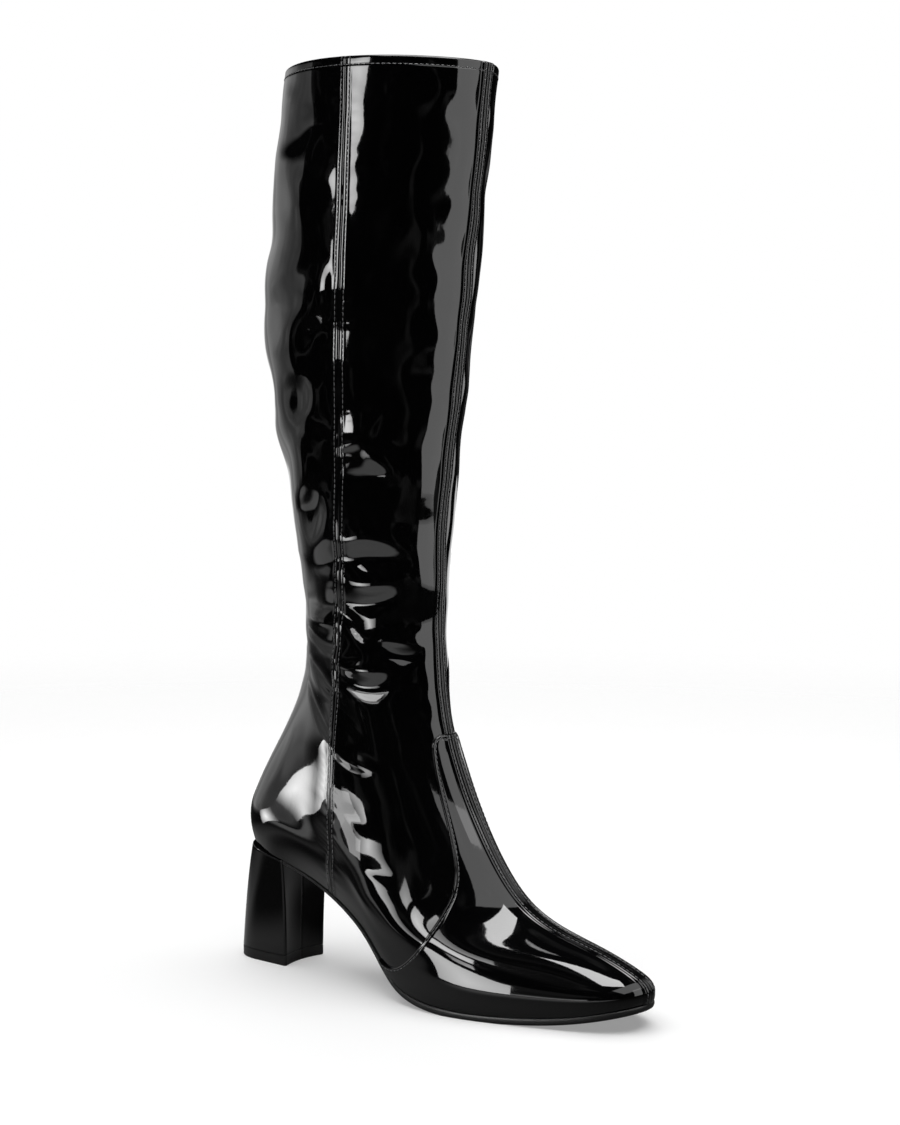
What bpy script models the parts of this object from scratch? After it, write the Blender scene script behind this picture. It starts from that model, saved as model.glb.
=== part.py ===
"""A knee-high block heel boot for the right foot, in patent leather, standing on its heel and forefoot.

The frame is +X from heel to toe, +Y to the inner side, where the zip is, and +Z up, with the origin on the
floor under the middle of the heel. Every size below is in millimetres, and new_solid makes them metres.
The upper is a family of sections of the last: each one is a closed ring from the centre-front line round to
the centre-back line, and the rings climb from the feather line, where the sole starts, to the collar.
"""

import collections
import math

import bpy
import numpy as np

MM = 0.001

# The clearance between pieces, and the small steps of climb and angle that slopes are measured over.
GAP = 0.3
SMALL_CLIMB = 0.05
SMALL_TURN = 0.002

# Finishes of the pieces. Edges that turn by more than the sharp angle stay crisp in the smooth shading.
Finish = collections.namedtuple("Finish", "colour roughness metallic")
PATENT = Finish((0.012, 0.012, 0.013), 0.1, 0.0)
RUBBER = Finish((0.02, 0.02, 0.02), 0.45, 0.0)
SOCK = Finish((0.05, 0.045, 0.04), 0.8, 0.0)
ZIP_CLOTH = Finish((0.015, 0.015, 0.016), 0.6, 0.0)
GUNMETAL = Finish((0.09, 0.09, 0.095), 0.3, 1.0)
SHARP_ANGLE = math.radians(40)

# The last's sections, from the feather line up. front and back are where a ring meets the centre-front and
# centre-back lines. tip to rear are half-widths of the oval that the ring follows at those shares of its
# length, so a plain oval has one number in all six. sole_share is how much of the sole's side curve the ring
# still has, and steps is how many rings of the mesh there are from this row to the next.
Section = collections.namedtuple(
    "Section",
    "front_x front_y front_z back_x back_y back_z tip fore ball waist heel rear sole_share steps",
)
SECTIONS = [
    Section(229.0, 13.0, 13.0, -11.5, 0.0, 65.6, 42.0, 35.5, 37.5, 27.5, 27.5, 44.0, 1.00, 2),
    Section(230.0, 12.5, 19.5, -13.8, 0.0, 74.0, 42.0, 36.0, 38.8, 29.5, 31.0, 46.5, 0.96, 2),
    Section(222.0, 12.0, 25.6, -14.2, 0.0, 84.0, 36.5, 34.8, 38.5, 30.5, 33.5, 46.0, 0.88, 2),
    Section(204.0, 11.2, 32.3, -11.0, 0.0, 94.0, 31.5, 32.5, 37.8, 31.0, 33.0, 42.0, 0.76, 2),
    Section(182.5, 10.4, 38.2, -6.2, 0.5, 104.0, 28.5, 30.0, 36.0, 31.0, 31.5, 38.0, 0.62, 2),
    Section(163.5, 9.8, 46.8, -0.3, 1.0, 114.5, 26.5, 29.0, 34.0, 31.5, 30.5, 35.0, 0.48, 2),
    Section(148.8, 9.3, 60.4, 6.3, 1.5, 125.5, 25.5, 28.0, 32.5, 32.0, 30.0, 32.0, 0.34, 2),
    Section(135.8, 8.9, 79.2, 12.8, 2.2, 137.0, 24.5, 27.5, 31.5, 32.0, 30.0, 30.0, 0.22, 2),
    Section(123.3, 8.7, 102.3, 19.0, 3.0, 150.0, 23.5, 27.0, 31.0, 32.0, 30.0, 28.0, 0.12, 2),
    Section(112.4, 8.6, 130.5, 24.0, 3.8, 166.0, 23.0, 26.8, 31.0, 31.5, 30.0, 28.0, 0.05, 2),
    Section(107.0, 8.6, 160.0, 26.0, 4.5, 182.0, 24.0, 27.5, 31.5, 32.0, 31.0, 30.0, 0.01, 2),
    Section(105.8, 9.0, 190.0, 26.0, 5.0, 200.0, 26.0, 29.0, 32.5, 33.5, 33.0, 32.0, 0.00, 2),
    Section(107.0, 9.8, 235.0, 23.0, 5.0, 235.0, 30.5, 33.5, 38.5, 40.0, 39.0, 37.0, 0.00, 2),
    Section(111.5, 12.0, 290.0, 13.3, 4.7, 290.0, 33.0, 38.0, 45.5, 48.0, 47.0, 44.0, 0.00, 2),
    Section(117.0, 14.5, 345.0, 6.6, 4.0, 345.0, 34.5, 40.5, 49.5, 52.5, 51.0, 49.0, 0.00, 2),
    Section(123.0, 15.5, 400.0, 12.5, 3.5, 400.0, 34.5, 41.0, 50.0, 53.0, 52.0, 50.0, 0.00, 2),
    Section(128.0, 15.5, 440.0, 18.9, 3.5, 440.0, 35.0, 41.0, 49.0, 52.0, 51.5, 50.0, 0.00, 1),
    Section(132.0, 15.5, 471.0, 22.0, 3.5, 471.0, 35.5, 41.0, 48.0, 51.0, 51.0, 50.0, 0.00, 0),
]
WIDTH_STATIONS = (0.0, 0.10, 0.34, 0.62, 0.86, 1.0)
SWING_POWER = 1.5

# The feather line seen from the side, from the heel seat over the shank to the toe: the upper's lower edge.
FeatherPoint = collections.namedtuple("FeatherPoint", "x z")
FEATHER_LINE = [
    FeatherPoint(-11.5, 65.6),
    FeatherPoint(18.7, 59.0),
    FeatherPoint(50.0, 48.8),
    FeatherPoint(68.6, 40.3),
    FeatherPoint(85.0, 29.6),
    FeatherPoint(96.0, 19.2),
    FeatherPoint(106.0, 11.0),
    FeatherPoint(118.5, 6.2),
    FeatherPoint(137.0, 3.9),
    FeatherPoint(166.0, 3.7),
    FeatherPoint(197.0, 6.3),
    FeatherPoint(229.0, 13.0),
]

# The upper's wall, its raised seam up the centre front, and how many columns of the mesh run up the seam's
# crest and each side.
WALL = 1.8
FRONT_SEAM_HALF = 3.4
FRONT_SEAM_FOOT = 4.4
FRONT_SEAM_RISE = 0.8
FRONT_SEAM_COLUMNS = 3
SIDE_COLUMNS = 25

# The zip's line on the inner side, as a share of the ring from front to back at a climb in mm, and its slot.
ZipPoint = collections.namedtuple("ZipPoint", "climb share")
ZIP_LINE = [
    ZipPoint(0.0, 0.56),
    ZipPoint(20.0, 0.53),
    ZipPoint(60.0, 0.48),
    ZipPoint(120.0, 0.42),
    ZipPoint(190.0, 0.40),
    ZipPoint(300.0, 0.42),
    ZipPoint(470.0, 0.48),
]
ZIP_SLOT_HALF = 5.0
ZIP_COLUMNS_IN_FRONT = 12
ZIP_FOOT_ROW = 1

# The vamp, laid over the upper's front: its edge as an angle from the centre front at a climb in mm. On the
# feather line the edge is on one of the upper's own columns, as many from the front as the vamp has. The last
# rows are the rounded tongue, which has a ring of the mesh at each of them.
VampPoint = collections.namedtuple("VampPoint", "climb degrees")
VAMP_EDGE = [
    VampPoint(11.5, 87.5),
    VampPoint(37.5, 71.5),
    VampPoint(62.0, 55.5),
    VampPoint(80.0, 42.5),
    VampPoint(93.0, 36.5),
    VampPoint(113.0, 31.5),
    VampPoint(130.0, 29.0),
    VampPoint(139.0, 26.5),
    VampPoint(143.5, 21.0),
    VampPoint(145.5, 14.0),
]
VAMP_TONGUE_ROWS = 4
VAMP_LIFT = 0.7
VAMP_THICK = 0.9
VAMP_COLUMNS = 13

# The outsole: how thick it is along the boot and how far its edge stands out from the feather line. The edge
# is rounded by rows that are set in by a little at a level from the top, 0, to the underside, 1.
SolePoint = collections.namedtuple("SolePoint", "x thick stand_out")
OUTSOLE = [
    SolePoint(20.0, 2.0, 0.2),
    SolePoint(60.0, 2.2, 0.5),
    SolePoint(95.0, 2.8, 1.0),
    SolePoint(120.0, 3.4, 1.8),
    SolePoint(150.0, 3.5, 1.9),
    SolePoint(200.0, 3.4, 1.9),
    SolePoint(231.0, 3.2, 1.9),
]
SOLE_BACK = 20.0
SOLE_LAST_RUNG = 24.0
SoleEdge = collections.namedtuple("SoleEdge", "inset level")
SOLE_EDGE = [SoleEdge(0.3, 0.0), SoleEdge(0.0, 0.4), SoleEdge(0.7, 1.0)]

# The insole lies on the outsole and the heel, inside the upper's wall.
INSOLE_THICK = 2.0
INSOLE_INSET = 2.4

# The heel block and the top piece under it: plan sizes at a share of the block's height.
HeelRow = collections.namedtuple("HeelRow", "share back half breast hollow")
HEEL = [
    HeelRow(0.00, -20.8, 15.6, 18.7, 2.4),
    HeelRow(0.33, -18.6, 16.1, 18.8, 2.2),
    HeelRow(0.66, -15.6, 17.0, 19.0, 1.8),
    HeelRow(0.88, -12.8, 18.0, 19.2, 1.4),
    HeelRow(1.00, -10.9, 18.8, 19.4, 1.0),
]
HEEL_BACK_RADIUS = 19.0
HEEL_BACK_SQUARENESS = 2.5
HEEL_CORNER = 1.2
HEEL_CORNER_CUT = 0.35
HEEL_BREAST_POINTS = 9
HEEL_BACK_POINTS = 15
TOP_PIECE = 5.5

# The zip: its tape across the slot, with the coil as a ridge, the slider near the collar and the pull that
# hangs on the slider's bridge. Heights are off the leather's surface.
TapePoint = collections.namedtuple("TapePoint", "across height")
TAPE_PROFILE = [
    TapePoint(-4.7, -0.4),
    TapePoint(-2.0, -0.4),
    TapePoint(-1.4, 0.4),
    TapePoint(0.0, 0.7),
    TapePoint(1.4, 0.4),
    TapePoint(2.0, -0.4),
    TapePoint(4.7, -0.4),
]
TAPE_UNDER = -1.6
TAPE_END_GAP = 0.6
TAPE_LEAST_STEP = 1.0
SLIDER_BELOW_COLLAR = 8.0
SLIDER_LONG = 5.0
SLIDER_HALF = 4.0
SLIDER_FOOT_NARROW = 0.75
SLIDER_UNDER = 1.2
SLIDER_TOP = 3.4
BRIDGE_HALF = 1.0
BRIDGE_WINDOW = 2.2
BRIDGE_LEG = 1.0
BRIDGE_CLEAR = 2.4
PULL_AXIS = SLIDER_TOP + BRIDGE_CLEAR / 2
PULL_HALF = 3.2
PULL_EYE_HALF = 1.7
PULL_BAR = 0.6
PULL_EYE_LONG = 4.8
PULL_SLOT_TOP = 10.0
PULL_SLOT_FOOT = 19.5
PULL_LONG = 22.0


def natural_spline(knots, values):
    """A curve with no jump in its bend, through the values at the knots. Values may have columns."""
    knots = np.asarray(knots, float)
    values = np.asarray(values, float)
    spans = np.diff(knots)
    matrix = np.eye(len(knots))
    turn = np.zeros_like(values)
    for i in range(1, len(knots) - 1):
        matrix[i, i - 1 : i + 2] = spans[i - 1], 2 * (spans[i - 1] + spans[i]), spans[i]
        turn[i] = 6 * ((values[i + 1] - values[i]) / spans[i] - (values[i] - values[i - 1]) / spans[i - 1])
    bend = np.linalg.solve(matrix, turn)

    def curve(u):
        u = np.asarray(u, float)
        i = np.clip(np.searchsorted(knots, u, side="right") - 1, 0, len(knots) - 2)
        after, before, span = knots[i + 1] - u, u - knots[i], spans[i]
        if values.ndim > 1:
            after, before, span = after[..., None], before[..., None], span[..., None]
        return (
            (bend[i] * after**3 + bend[i + 1] * before**3) / (6 * span)
            + (values[i] / span - bend[i] * span / 6) * after
            + (values[i + 1] / span - bend[i + 1] * span / 6) * before
        )

    return curve


feather_z = natural_spline([p.x for p in FEATHER_LINE], [p.z for p in FEATHER_LINE])


def section_knots():
    """Where each section lies on the way up, as the mean distance climbed by its front and back ends."""
    rows = np.array([s[:6] for s in SECTIONS], float)
    step = np.diff(rows, axis=0)
    climb = 0.5 * (np.linalg.norm(step[:, :3], axis=1) + np.linalg.norm(step[:, 3:], axis=1))
    return np.concatenate([[0.0], np.cumsum(climb)])


KNOTS = section_knots()
section_at = natural_spline(KNOTS, [s[:13] for s in SECTIONS])


def last_point(up, angle):
    """The last's surface: up is the climb in mm, and angle runs from 0 at the centre front to pi at the back,
    below zero on the outer side and above it on the inner side."""
    up, angle = np.broadcast_arrays(np.asarray(up, float), np.asarray(angle, float))
    row = section_at(up)
    front, back = row[..., 0:3], row[..., 3:6]
    widths, share = row[..., 6:12], np.clip(row[..., 12], 0, 1)
    along = (1 - np.cos(angle)) / 2
    feather_front, feather_back = np.array(SECTIONS[0][0:3]), np.array(SECTIONS[0][3:6])
    sole_x = feather_front[0] + (feather_back[0] - feather_front[0]) * along
    sole_chord = feather_front[2] + (feather_back[2] - feather_front[2]) * along
    sag = feather_z(sole_x) - sole_chord
    x = front[..., 0] + (back[..., 0] - front[..., 0]) * along
    z = front[..., 2] + (back[..., 2] - front[..., 2]) * along + share * sag
    centre = back[..., 1] + (front[..., 1] - back[..., 1]) * (1 - along) ** SWING_POWER
    half = width_at(widths, along)
    return np.stack([x, centre + np.sin(angle) * half, z], -1)


def width_basis():
    """Each station's share in the smooth curve of widths along a ring, with a column for each station."""
    return natural_spline(WIDTH_STATIONS, np.eye(len(WIDTH_STATIONS)))


WIDTH_CURVE = width_basis()


def width_at(widths, along):
    return np.sum(widths * WIDTH_CURVE(along), axis=-1)


def last_normal(up, angle):
    """The outward direction of the last's surface, square to it."""
    across = last_point(up, angle + SMALL_TURN) - last_point(up, angle - SMALL_TURN)
    climb = last_point(up + SMALL_CLIMB, angle) - last_point(up - SMALL_CLIMB, angle)
    square = np.cross(across, climb)
    return square / np.linalg.norm(square, axis=-1, keepdims=True)


def angle_per_mm(up, angle):
    """How far the angle turns for a millimetre along the ring."""
    across = last_point(up, angle + SMALL_TURN) - last_point(up, angle - SMALL_TURN)
    return 2 * SMALL_TURN / np.linalg.norm(across, axis=-1)


def front_angle(up, width):
    """The angle that lies this many millimetres round from the centre front."""
    return width * angle_per_mm(up, 0.0 * up)


ZIP_SHARE = natural_spline([p.climb for p in ZIP_LINE], [p.share for p in ZIP_LINE])


def zip_angle(up):
    return np.arccos(1 - 2 * ZIP_SHARE(up))


def mesh_climbs():
    """The climbs of the mesh's rings, with each section's own row among them."""
    climbs = []
    for i, section in enumerate(SECTIONS[:-1]):
        climbs.extend(np.linspace(KNOTS[i], KNOTS[i + 1], section.steps, endpoint=False))
    climbs.append(KNOTS[-1])
    return np.array(climbs)


CLIMBS = mesh_climbs()
ZIP_FOOT_RING = int(np.argmin(np.abs(CLIMBS - KNOTS[ZIP_FOOT_ROW])))


def plain_angles(up):
    """The angles of the columns on a side that has no zip, from the front seam's foot to the centre back."""
    return np.linspace(front_angle(up, FRONT_SEAM_FOOT), np.pi, SIDE_COLUMNS + 1)


def zip_side_angles(up):
    """The same columns on the inner side, drawn to the edges of the zip's slot above the slot's foot."""
    plain = plain_angles(up)
    middle = zip_angle(up)
    half = ZIP_SLOT_HALF * angle_per_mm(up, middle)
    before = np.linspace(plain[0], middle - half, ZIP_COLUMNS_IN_FRONT + 1)
    behind = np.linspace(middle + half, np.pi, SIDE_COLUMNS - ZIP_COLUMNS_IN_FRONT)
    drawn = np.concatenate([before, behind])
    pull = np.clip(up / CLIMBS[ZIP_FOOT_RING], 0, 1)
    return plain + (drawn - plain) * pull


def ring_angles(up):
    """All the column angles of one ring: from the centre back along the outer side to the front, then along
    the inner side to the column before the centre back. The front seam's sides have their own columns."""
    seam = front_angle(up, FRONT_SEAM_HALF)
    outer = plain_angles(up)
    inner = zip_side_angles(up)
    return np.concatenate([-outer[::-1], [-seam, 0.0, seam], inner[:-1]])


def front_seam_rise(up, angle):
    """How far the raised seam lifts the surface at an angle."""
    top, foot = front_angle(up, FRONT_SEAM_HALF), front_angle(up, FRONT_SEAM_FOOT)
    return FRONT_SEAM_RISE * np.clip((foot - np.abs(angle)) / (foot - top), 0, 1)


def new_solid(name, points, faces, finish, origin=(0.0, 0.0, 0.0)):
    """Makes one named object in metres from points in mm, with its own material and its origin at a point."""
    mesh = bpy.data.meshes.new(name)
    local = (np.asarray(points, float) - np.asarray(origin, float)) * MM
    mesh.from_pydata([tuple(p) for p in local], [], [tuple(f) for f in faces])
    mesh.validate()
    mesh.shade_smooth()
    mesh.set_sharp_from_angle(angle=SHARP_ANGLE)
    solid = bpy.data.objects.new(name, mesh)
    solid.location = tuple(np.asarray(origin, float) * MM)
    bpy.context.scene.collection.objects.link(solid)
    material = bpy.data.materials.new(name)
    material.use_nodes = True
    shader = material.node_tree.nodes["Principled BSDF"]
    shader.inputs["Base Color"].default_value = (*finish.colour, 1.0)
    shader.inputs["Roughness"].default_value = finish.roughness
    shader.inputs["Metallic"].default_value = finish.metallic
    mesh.materials.append(material)
    return solid


def shell_faces(rows, columns, skip):
    """Faces of a shell from two grids, the outer one first and then the inner one, each rows by columns.
    skip(i, j) says which cell between ring i and the next, column j and the next, is open. Every open side
    gets its own wall."""
    layer = rows * columns
    filled = {(i, j) for i in range(rows - 1) for j in range(columns) if not skip(i, j)}
    faces = []
    for i, j in sorted(filled):
        k = (j + 1) % columns
        a, b, c, d = i * columns + j, i * columns + k, (i + 1) * columns + k, (i + 1) * columns + j
        faces.append((a, b, c, d))
        faces.append((layer + d, layer + c, layer + b, layer + a))
        for near, far, beside in (
            (b, a, (i - 1, j)),
            (c, b, (i, k)),
            (d, c, (i + 1, j)),
            (a, d, (i, (j - 1) % columns)),
        ):
            if beside not in filled:
                faces.append((near, far, layer + far, layer + near))
    return faces


def drop_loose(points, faces):
    """Leaves out the points that no face uses."""
    used = sorted({i for face in faces for i in face})
    place = {old: new for new, old in enumerate(used)}
    return [points[i] for i in used], [tuple(place[i] for i in face) for face in faces]


def upper():
    """The boot's leg and foot, one hollow piece, open at the collar, underneath and along the zip."""
    outer, inner = [], []
    for ring, up in enumerate(CLIMBS):
        angles = ring_angles(up)
        climbs = np.full_like(angles, up)
        surface, out = last_point(climbs, angles), last_normal(climbs, angles)
        lifted = surface + out * front_seam_rise(climbs, angles)[:, None]
        within = surface - out * WALL
        if ring == 0:
            lifted[:, 2] = feather_z(lifted[:, 0])
        if ring == len(CLIMBS) - 1:
            lifted[:, 2] = within[:, 2] = SECTIONS[-1].front_z
        outer.append(lifted)
        inner.append(within)
    columns = len(outer[0])
    slot = SIDE_COLUMNS + 1 + FRONT_SEAM_COLUMNS + ZIP_COLUMNS_IN_FRONT
    faces = shell_faces(len(CLIMBS), columns, lambda i, j: j == slot and i >= ZIP_FOOT_RING)
    points = np.concatenate([np.concatenate(outer), np.concatenate(inner)])
    points, faces = drop_loose(points, faces)
    return new_solid("upper", points, faces, PATENT)


def vamp():
    """The front overlay, from the toe to a rounded tongue at the instep, that lies on the upper."""
    rows = [VampPoint(0.0, math.degrees(plain_angles(0.0)[VAMP_COLUMNS]))] + VAMP_EDGE
    edge = natural_spline([p.climb for p in rows], [p.degrees for p in rows])
    tongue = [p.climb for p in VAMP_EDGE[-VAMP_TONGUE_ROWS:]]
    climbs = [up for up in CLIMBS if up < tongue[0]] + tongue
    share = np.linspace(0, 1, VAMP_COLUMNS + 1)[1:]
    outer, inner = [], []
    for up in climbs:
        seam, foot = front_angle(up, FRONT_SEAM_HALF), front_angle(up, FRONT_SEAM_FOOT)
        side = foot + share * (math.radians(edge(up)) - foot)
        angles = np.concatenate([-side[::-1], [-foot, -seam, 0.0, seam, foot], side])
        ups = np.full_like(angles, up)
        surface, out = last_point(ups, angles), last_normal(ups, angles)
        rise = front_seam_rise(ups, angles)[:, None]
        outer.append(surface + out * (rise + VAMP_LIFT + VAMP_THICK))
        inner.append(surface + out * (rise + VAMP_LIFT))
        if up == 0:
            outer[0][:, 2] = feather_z(outer[0][:, 0])
            inner[0][:, 2] = feather_z(inner[0][:, 0])
    columns = len(outer[0])
    faces = shell_faces(len(climbs), columns, lambda i, j: j == columns - 1)
    points = np.concatenate([np.concatenate(outer), np.concatenate(inner)])
    return new_solid("vamp", points, faces, PATENT)


def plan_outline(angles, grow):
    """The feather line in plan, moved out by grow, with its height: the edge of the sole and the insole."""
    up = np.zeros_like(angles)
    line = last_point(up, angles)
    along = last_point(up, angles + SMALL_TURN) - last_point(up, angles - SMALL_TURN)
    out = np.stack([along[:, 1], -along[:, 0]], -1)
    out /= np.linalg.norm(out, axis=1, keepdims=True)
    flat = line[:, :2] + out * np.broadcast_to(np.asarray(grow, float), angles.shape)[:, None]
    return np.column_stack([flat, feather_z(flat[:, 0])])


def rung_angles():
    """Angles of the rungs that run across the sole, at the upper's own columns."""
    return np.concatenate([[0.0, front_angle(0.0, FRONT_SEAM_HALF)], plain_angles(0.0)])


def ladder_solid(name, loops, closed_back, finish):
    """A flat piece from loops of edge points, each a pair of sides (outer, inner) whose first point is shared
    at the toe. The first loop is the top's edge and the last one the bottom's. closed_back says that the last
    points are shared too, at the heel."""
    points, index = [], []
    for outer, inner in loops:
        left, right = [], []
        for i, (a, b) in enumerate(zip(outer, inner)):
            shared = i == 0 or (closed_back and i == len(outer) - 1)
            left.append(len(points))
            points.append(a)
            right.append(left[-1] if shared else len(points))
            if not shared:
                points.append(b)
        index.append((left, right))
    faces = []

    def add(*corners):
        ring = [c for i, c in enumerate(corners) if c != corners[i - 1]]
        if len(ring) > 2:
            faces.append(tuple(ring[::-1]))

    count = len(loops[0][0])
    for i in range(count - 1):
        left, right = index[0]
        add(left[i], left[i + 1], right[i + 1], right[i])
        left, right = index[-1]
        add(left[i], right[i], right[i + 1], left[i + 1])
        for (l0, r0), (l1, r1) in zip(index, index[1:]):
            add(l0[i], l1[i], l1[i + 1], l0[i + 1])
            add(r0[i], r0[i + 1], r1[i + 1], r1[i])
    if not closed_back:
        for (l0, r0), (l1, r1) in zip(index, index[1:]):
            add(l0[-1], l1[-1], r1[-1], r0[-1])
    return new_solid(name, points, faces, finish)


SOLE_THICK = natural_spline([p.x for p in OUTSOLE], [p.thick for p in OUTSOLE])
SOLE_STAND_OUT = natural_spline([p.x for p in OUTSOLE], [p.stand_out for p in OUTSOLE])


def sole_under(x):
    """The height of the outsole's underside, which lies flat on the floor under the forefoot."""
    return np.maximum(feather_z(x) - GAP - SOLE_THICK(x), 0.0)


def outsole():
    """The thin sole from the toe to the heel's breast."""
    angles = rung_angles()
    x = last_point(0.0 * angles, angles)[:, 0]
    angles = np.append(angles[x > SOLE_LAST_RUNG], np.interp(-SOLE_BACK, -x, angles))
    x = last_point(0.0 * angles, angles)[:, 0]
    grow = SOLE_STAND_OUT(np.minimum(x, OUTSOLE[-1].x))
    loops = []
    for row in SOLE_EDGE:
        sides = []
        for side in (-1, 1):
            edge = plan_outline(side * angles, grow - row.inset)
            top = edge[:, 2] - GAP
            edge[:, 2] = top + (sole_under(edge[:, 0]) - top) * row.level
            sides.append(edge)
        loops.append(sides)
    return ladder_solid("outsole", loops, False, RUBBER)


def insole():
    """The board and sock inside the boot, on the outsole and the heel."""
    angles = rung_angles()
    loops = []
    for height in (INSOLE_THICK, 0.0):
        sides = []
        for side in (-1, 1):
            edge = plan_outline(side * angles, -INSOLE_INSET)
            edge[:, 2] += height
            sides.append(edge)
        loops.append(sides)
    return ladder_solid("insole", loops, True, SOCK)


def heel_outline(row):
    """The heel's plan at one level, from the inner front corner over the breast and round the back."""
    points = []
    cut = HEEL_CORNER_CUT * HEEL_CORNER
    for y in np.linspace(1, -1, HEEL_BREAST_POINTS):
        points.append((row.breast - row.hollow * (1 - y * y), y * (row.half - HEEL_CORNER)))
    points.append((row.breast - cut, -row.half + cut))
    points.append((row.breast - HEEL_CORNER, -row.half))
    for turn in np.linspace(-0.5 * np.pi, 0.5 * np.pi, HEEL_BACK_POINTS):
        depth = abs(math.cos(turn)) ** (2 / HEEL_BACK_SQUARENESS)
        side = math.copysign(abs(math.sin(turn)) ** (2 / HEEL_BACK_SQUARENESS), turn)
        points.append((row.back + HEEL_BACK_RADIUS * (1 - depth), row.half * side))
    points.append((row.breast - HEEL_CORNER, row.half))
    points.append((row.breast - cut, row.half - cut))
    return np.array(points[::-1])


def column_solid(name, rings, crown, finish):
    """A solid from rings of the same length, the bottom one first. crown gives the top face's height at an x.
    A ring half-way in to the middle carries the top face's curve."""
    count = len(rings[0])
    middle = rings[-1].mean(axis=0)
    inside = middle + 0.5 * (rings[-1] - middle)
    inside[:, 2] = crown(inside[:, 0])
    middle[2] = crown(middle[0])
    points = np.concatenate(rings + [inside, [middle]])
    faces = [tuple(range(count))[::-1]]
    for i in range(len(rings)):
        for j in range(count):
            k = (j + 1) % count
            faces.append((i * count + j, i * count + k, (i + 1) * count + k, (i + 1) * count + j))
    start = len(rings) * count
    for j in range(count):
        faces.append((start + j, start + (j + 1) % count, start + count))
    return new_solid(name, points, faces, finish)


def heel_seat(x):
    """The height of the heel's top, just under the feather line."""
    return feather_z(x) - GAP


def heel():
    """The covered heel block, from above its top piece to the seat."""
    foot = TOP_PIECE + GAP
    rings = []
    for row in HEEL:
        plan = heel_outline(row)
        rings.append(np.column_stack([plan, foot + (heel_seat(plan[:, 0]) - foot) * row.share]))
    return column_solid("heel", rings, heel_seat, PATENT)


def heel_top_piece():
    """The wearing piece under the heel."""
    plan = heel_outline(HEEL[0])
    rings = [np.column_stack([plan, np.full(len(plan), z)]) for z in (0.0, TOP_PIECE)]
    return column_solid("heel_top_piece", rings, lambda x: 0.0 * x + TOP_PIECE, RUBBER)


def zip_place(up, across, height):
    """A point on the zip: at a climb, this far across its line and this high off the leather."""
    middle = zip_angle(up)
    angle = middle + across * angle_per_mm(up, middle)
    return last_point(up, angle) + height * last_normal(up, angle)


def zip_tape():
    """The zip's tape with its coil, in the slot of the upper."""
    low, high = CLIMBS[ZIP_FOOT_RING] + TAPE_END_GAP, KNOTS[-1] - TAPE_END_GAP
    between = [up for up in CLIMBS if low + TAPE_LEAST_STEP < up < high - TAPE_LEAST_STEP]
    climbs = [low] + between + [high]
    outer, inner = [], []
    for up in climbs:
        for point in TAPE_PROFILE:
            outer.append(zip_place(up, point.across, point.height))
            inner.append(zip_place(up, point.across, TAPE_UNDER))
    columns = len(TAPE_PROFILE)
    faces = shell_faces(len(climbs), columns, lambda i, j: j == columns - 1)
    return new_solid("zip_tape", np.concatenate([outer, inner]), faces, ZIP_CLOTH)


def slider_frame():
    """The slider's place on the zip: its middle on the leather, and the directions across, up and out."""
    up = KNOTS[-1] - SLIDER_BELOW_COLLAR
    middle = zip_place(up, 0.0, 0.0)
    out = last_normal(up, zip_angle(up))
    climb = zip_place(up + SMALL_CLIMB, 0.0, 0.0) - zip_place(up - SMALL_CLIMB, 0.0, 0.0)
    across = np.cross(climb, out)
    across /= np.linalg.norm(across)
    return middle, across, np.cross(out, across), out


def cell_solid(name, lines, filled, narrow, origin_out):
    """A small metal piece from cells between grid lines across, up and out of the slider's frame.
    filled(a, b, c) tells whether the cell round a point is metal, and narrow(b) scales it across at a height.
    Its origin is this far out from the leather."""
    middle, across, climb, out = slider_frame()
    counts = [len(line) - 1 for line in lines]

    def metal(i, j, k):
        if min(i, j, k) < 0 or i >= counts[0] or j >= counts[1] or k >= counts[2]:
            return False
        return filled(*(0.5 * (line[n] + line[n + 1]) for line, n in zip(lines, (i, j, k))))

    points, place, faces = [], {}, []

    def corner(i, j, k):
        if (i, j, k) not in place:
            place[(i, j, k)] = len(points)
            a, b, c = lines[0][i], lines[1][j], lines[2][k]
            points.append(middle + across * a * narrow(b) + climb * b + out * c)
        return place[(i, j, k)]

    for i in range(counts[0]):
        for j in range(counts[1]):
            for k in range(counts[2]):
                if not metal(i, j, k):
                    continue
                for axis in range(3):
                    for step in (-1, 1):
                        beside = [i, j, k]
                        beside[axis] += step
                        if metal(*beside):
                            continue
                        square = []
                        for u, v in ((0, 0), (1, 0), (1, 1), (0, 1)):
                            at = [i, j, k]
                            at[axis] += step > 0
                            at[(axis + 1) % 3] += u
                            at[(axis + 2) % 3] += v
                            square.append(corner(*at))
                        faces.append(square if step > 0 else square[::-1])
    return new_solid(name, points, faces, GUNMETAL, middle + out * origin_out)


def zip_slider():
    """The slider: a plate over the coil that narrows to its foot, with a bridge for the pull."""
    window, leg = BRIDGE_WINDOW, BRIDGE_WINDOW + BRIDGE_LEG
    roof = SLIDER_TOP + BRIDGE_CLEAR
    lines = (
        (-SLIDER_HALF, -BRIDGE_HALF, BRIDGE_HALF, SLIDER_HALF),
        (-SLIDER_LONG, -leg, -window, window, leg, SLIDER_LONG),
        (SLIDER_UNDER, SLIDER_TOP, roof, roof + BRIDGE_LEG),
    )

    def filled(a, b, c):
        if c < SLIDER_TOP:
            return True
        if abs(a) > BRIDGE_HALF or abs(b) > leg:
            return False
        return c > roof or abs(b) > window

    def narrow(b):
        return 1 - (1 - SLIDER_FOOT_NARROW) * (SLIDER_LONG - b) / (2 * SLIDER_LONG)

    return cell_solid("zip_slider", lines, filled, narrow, 0.0)


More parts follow.
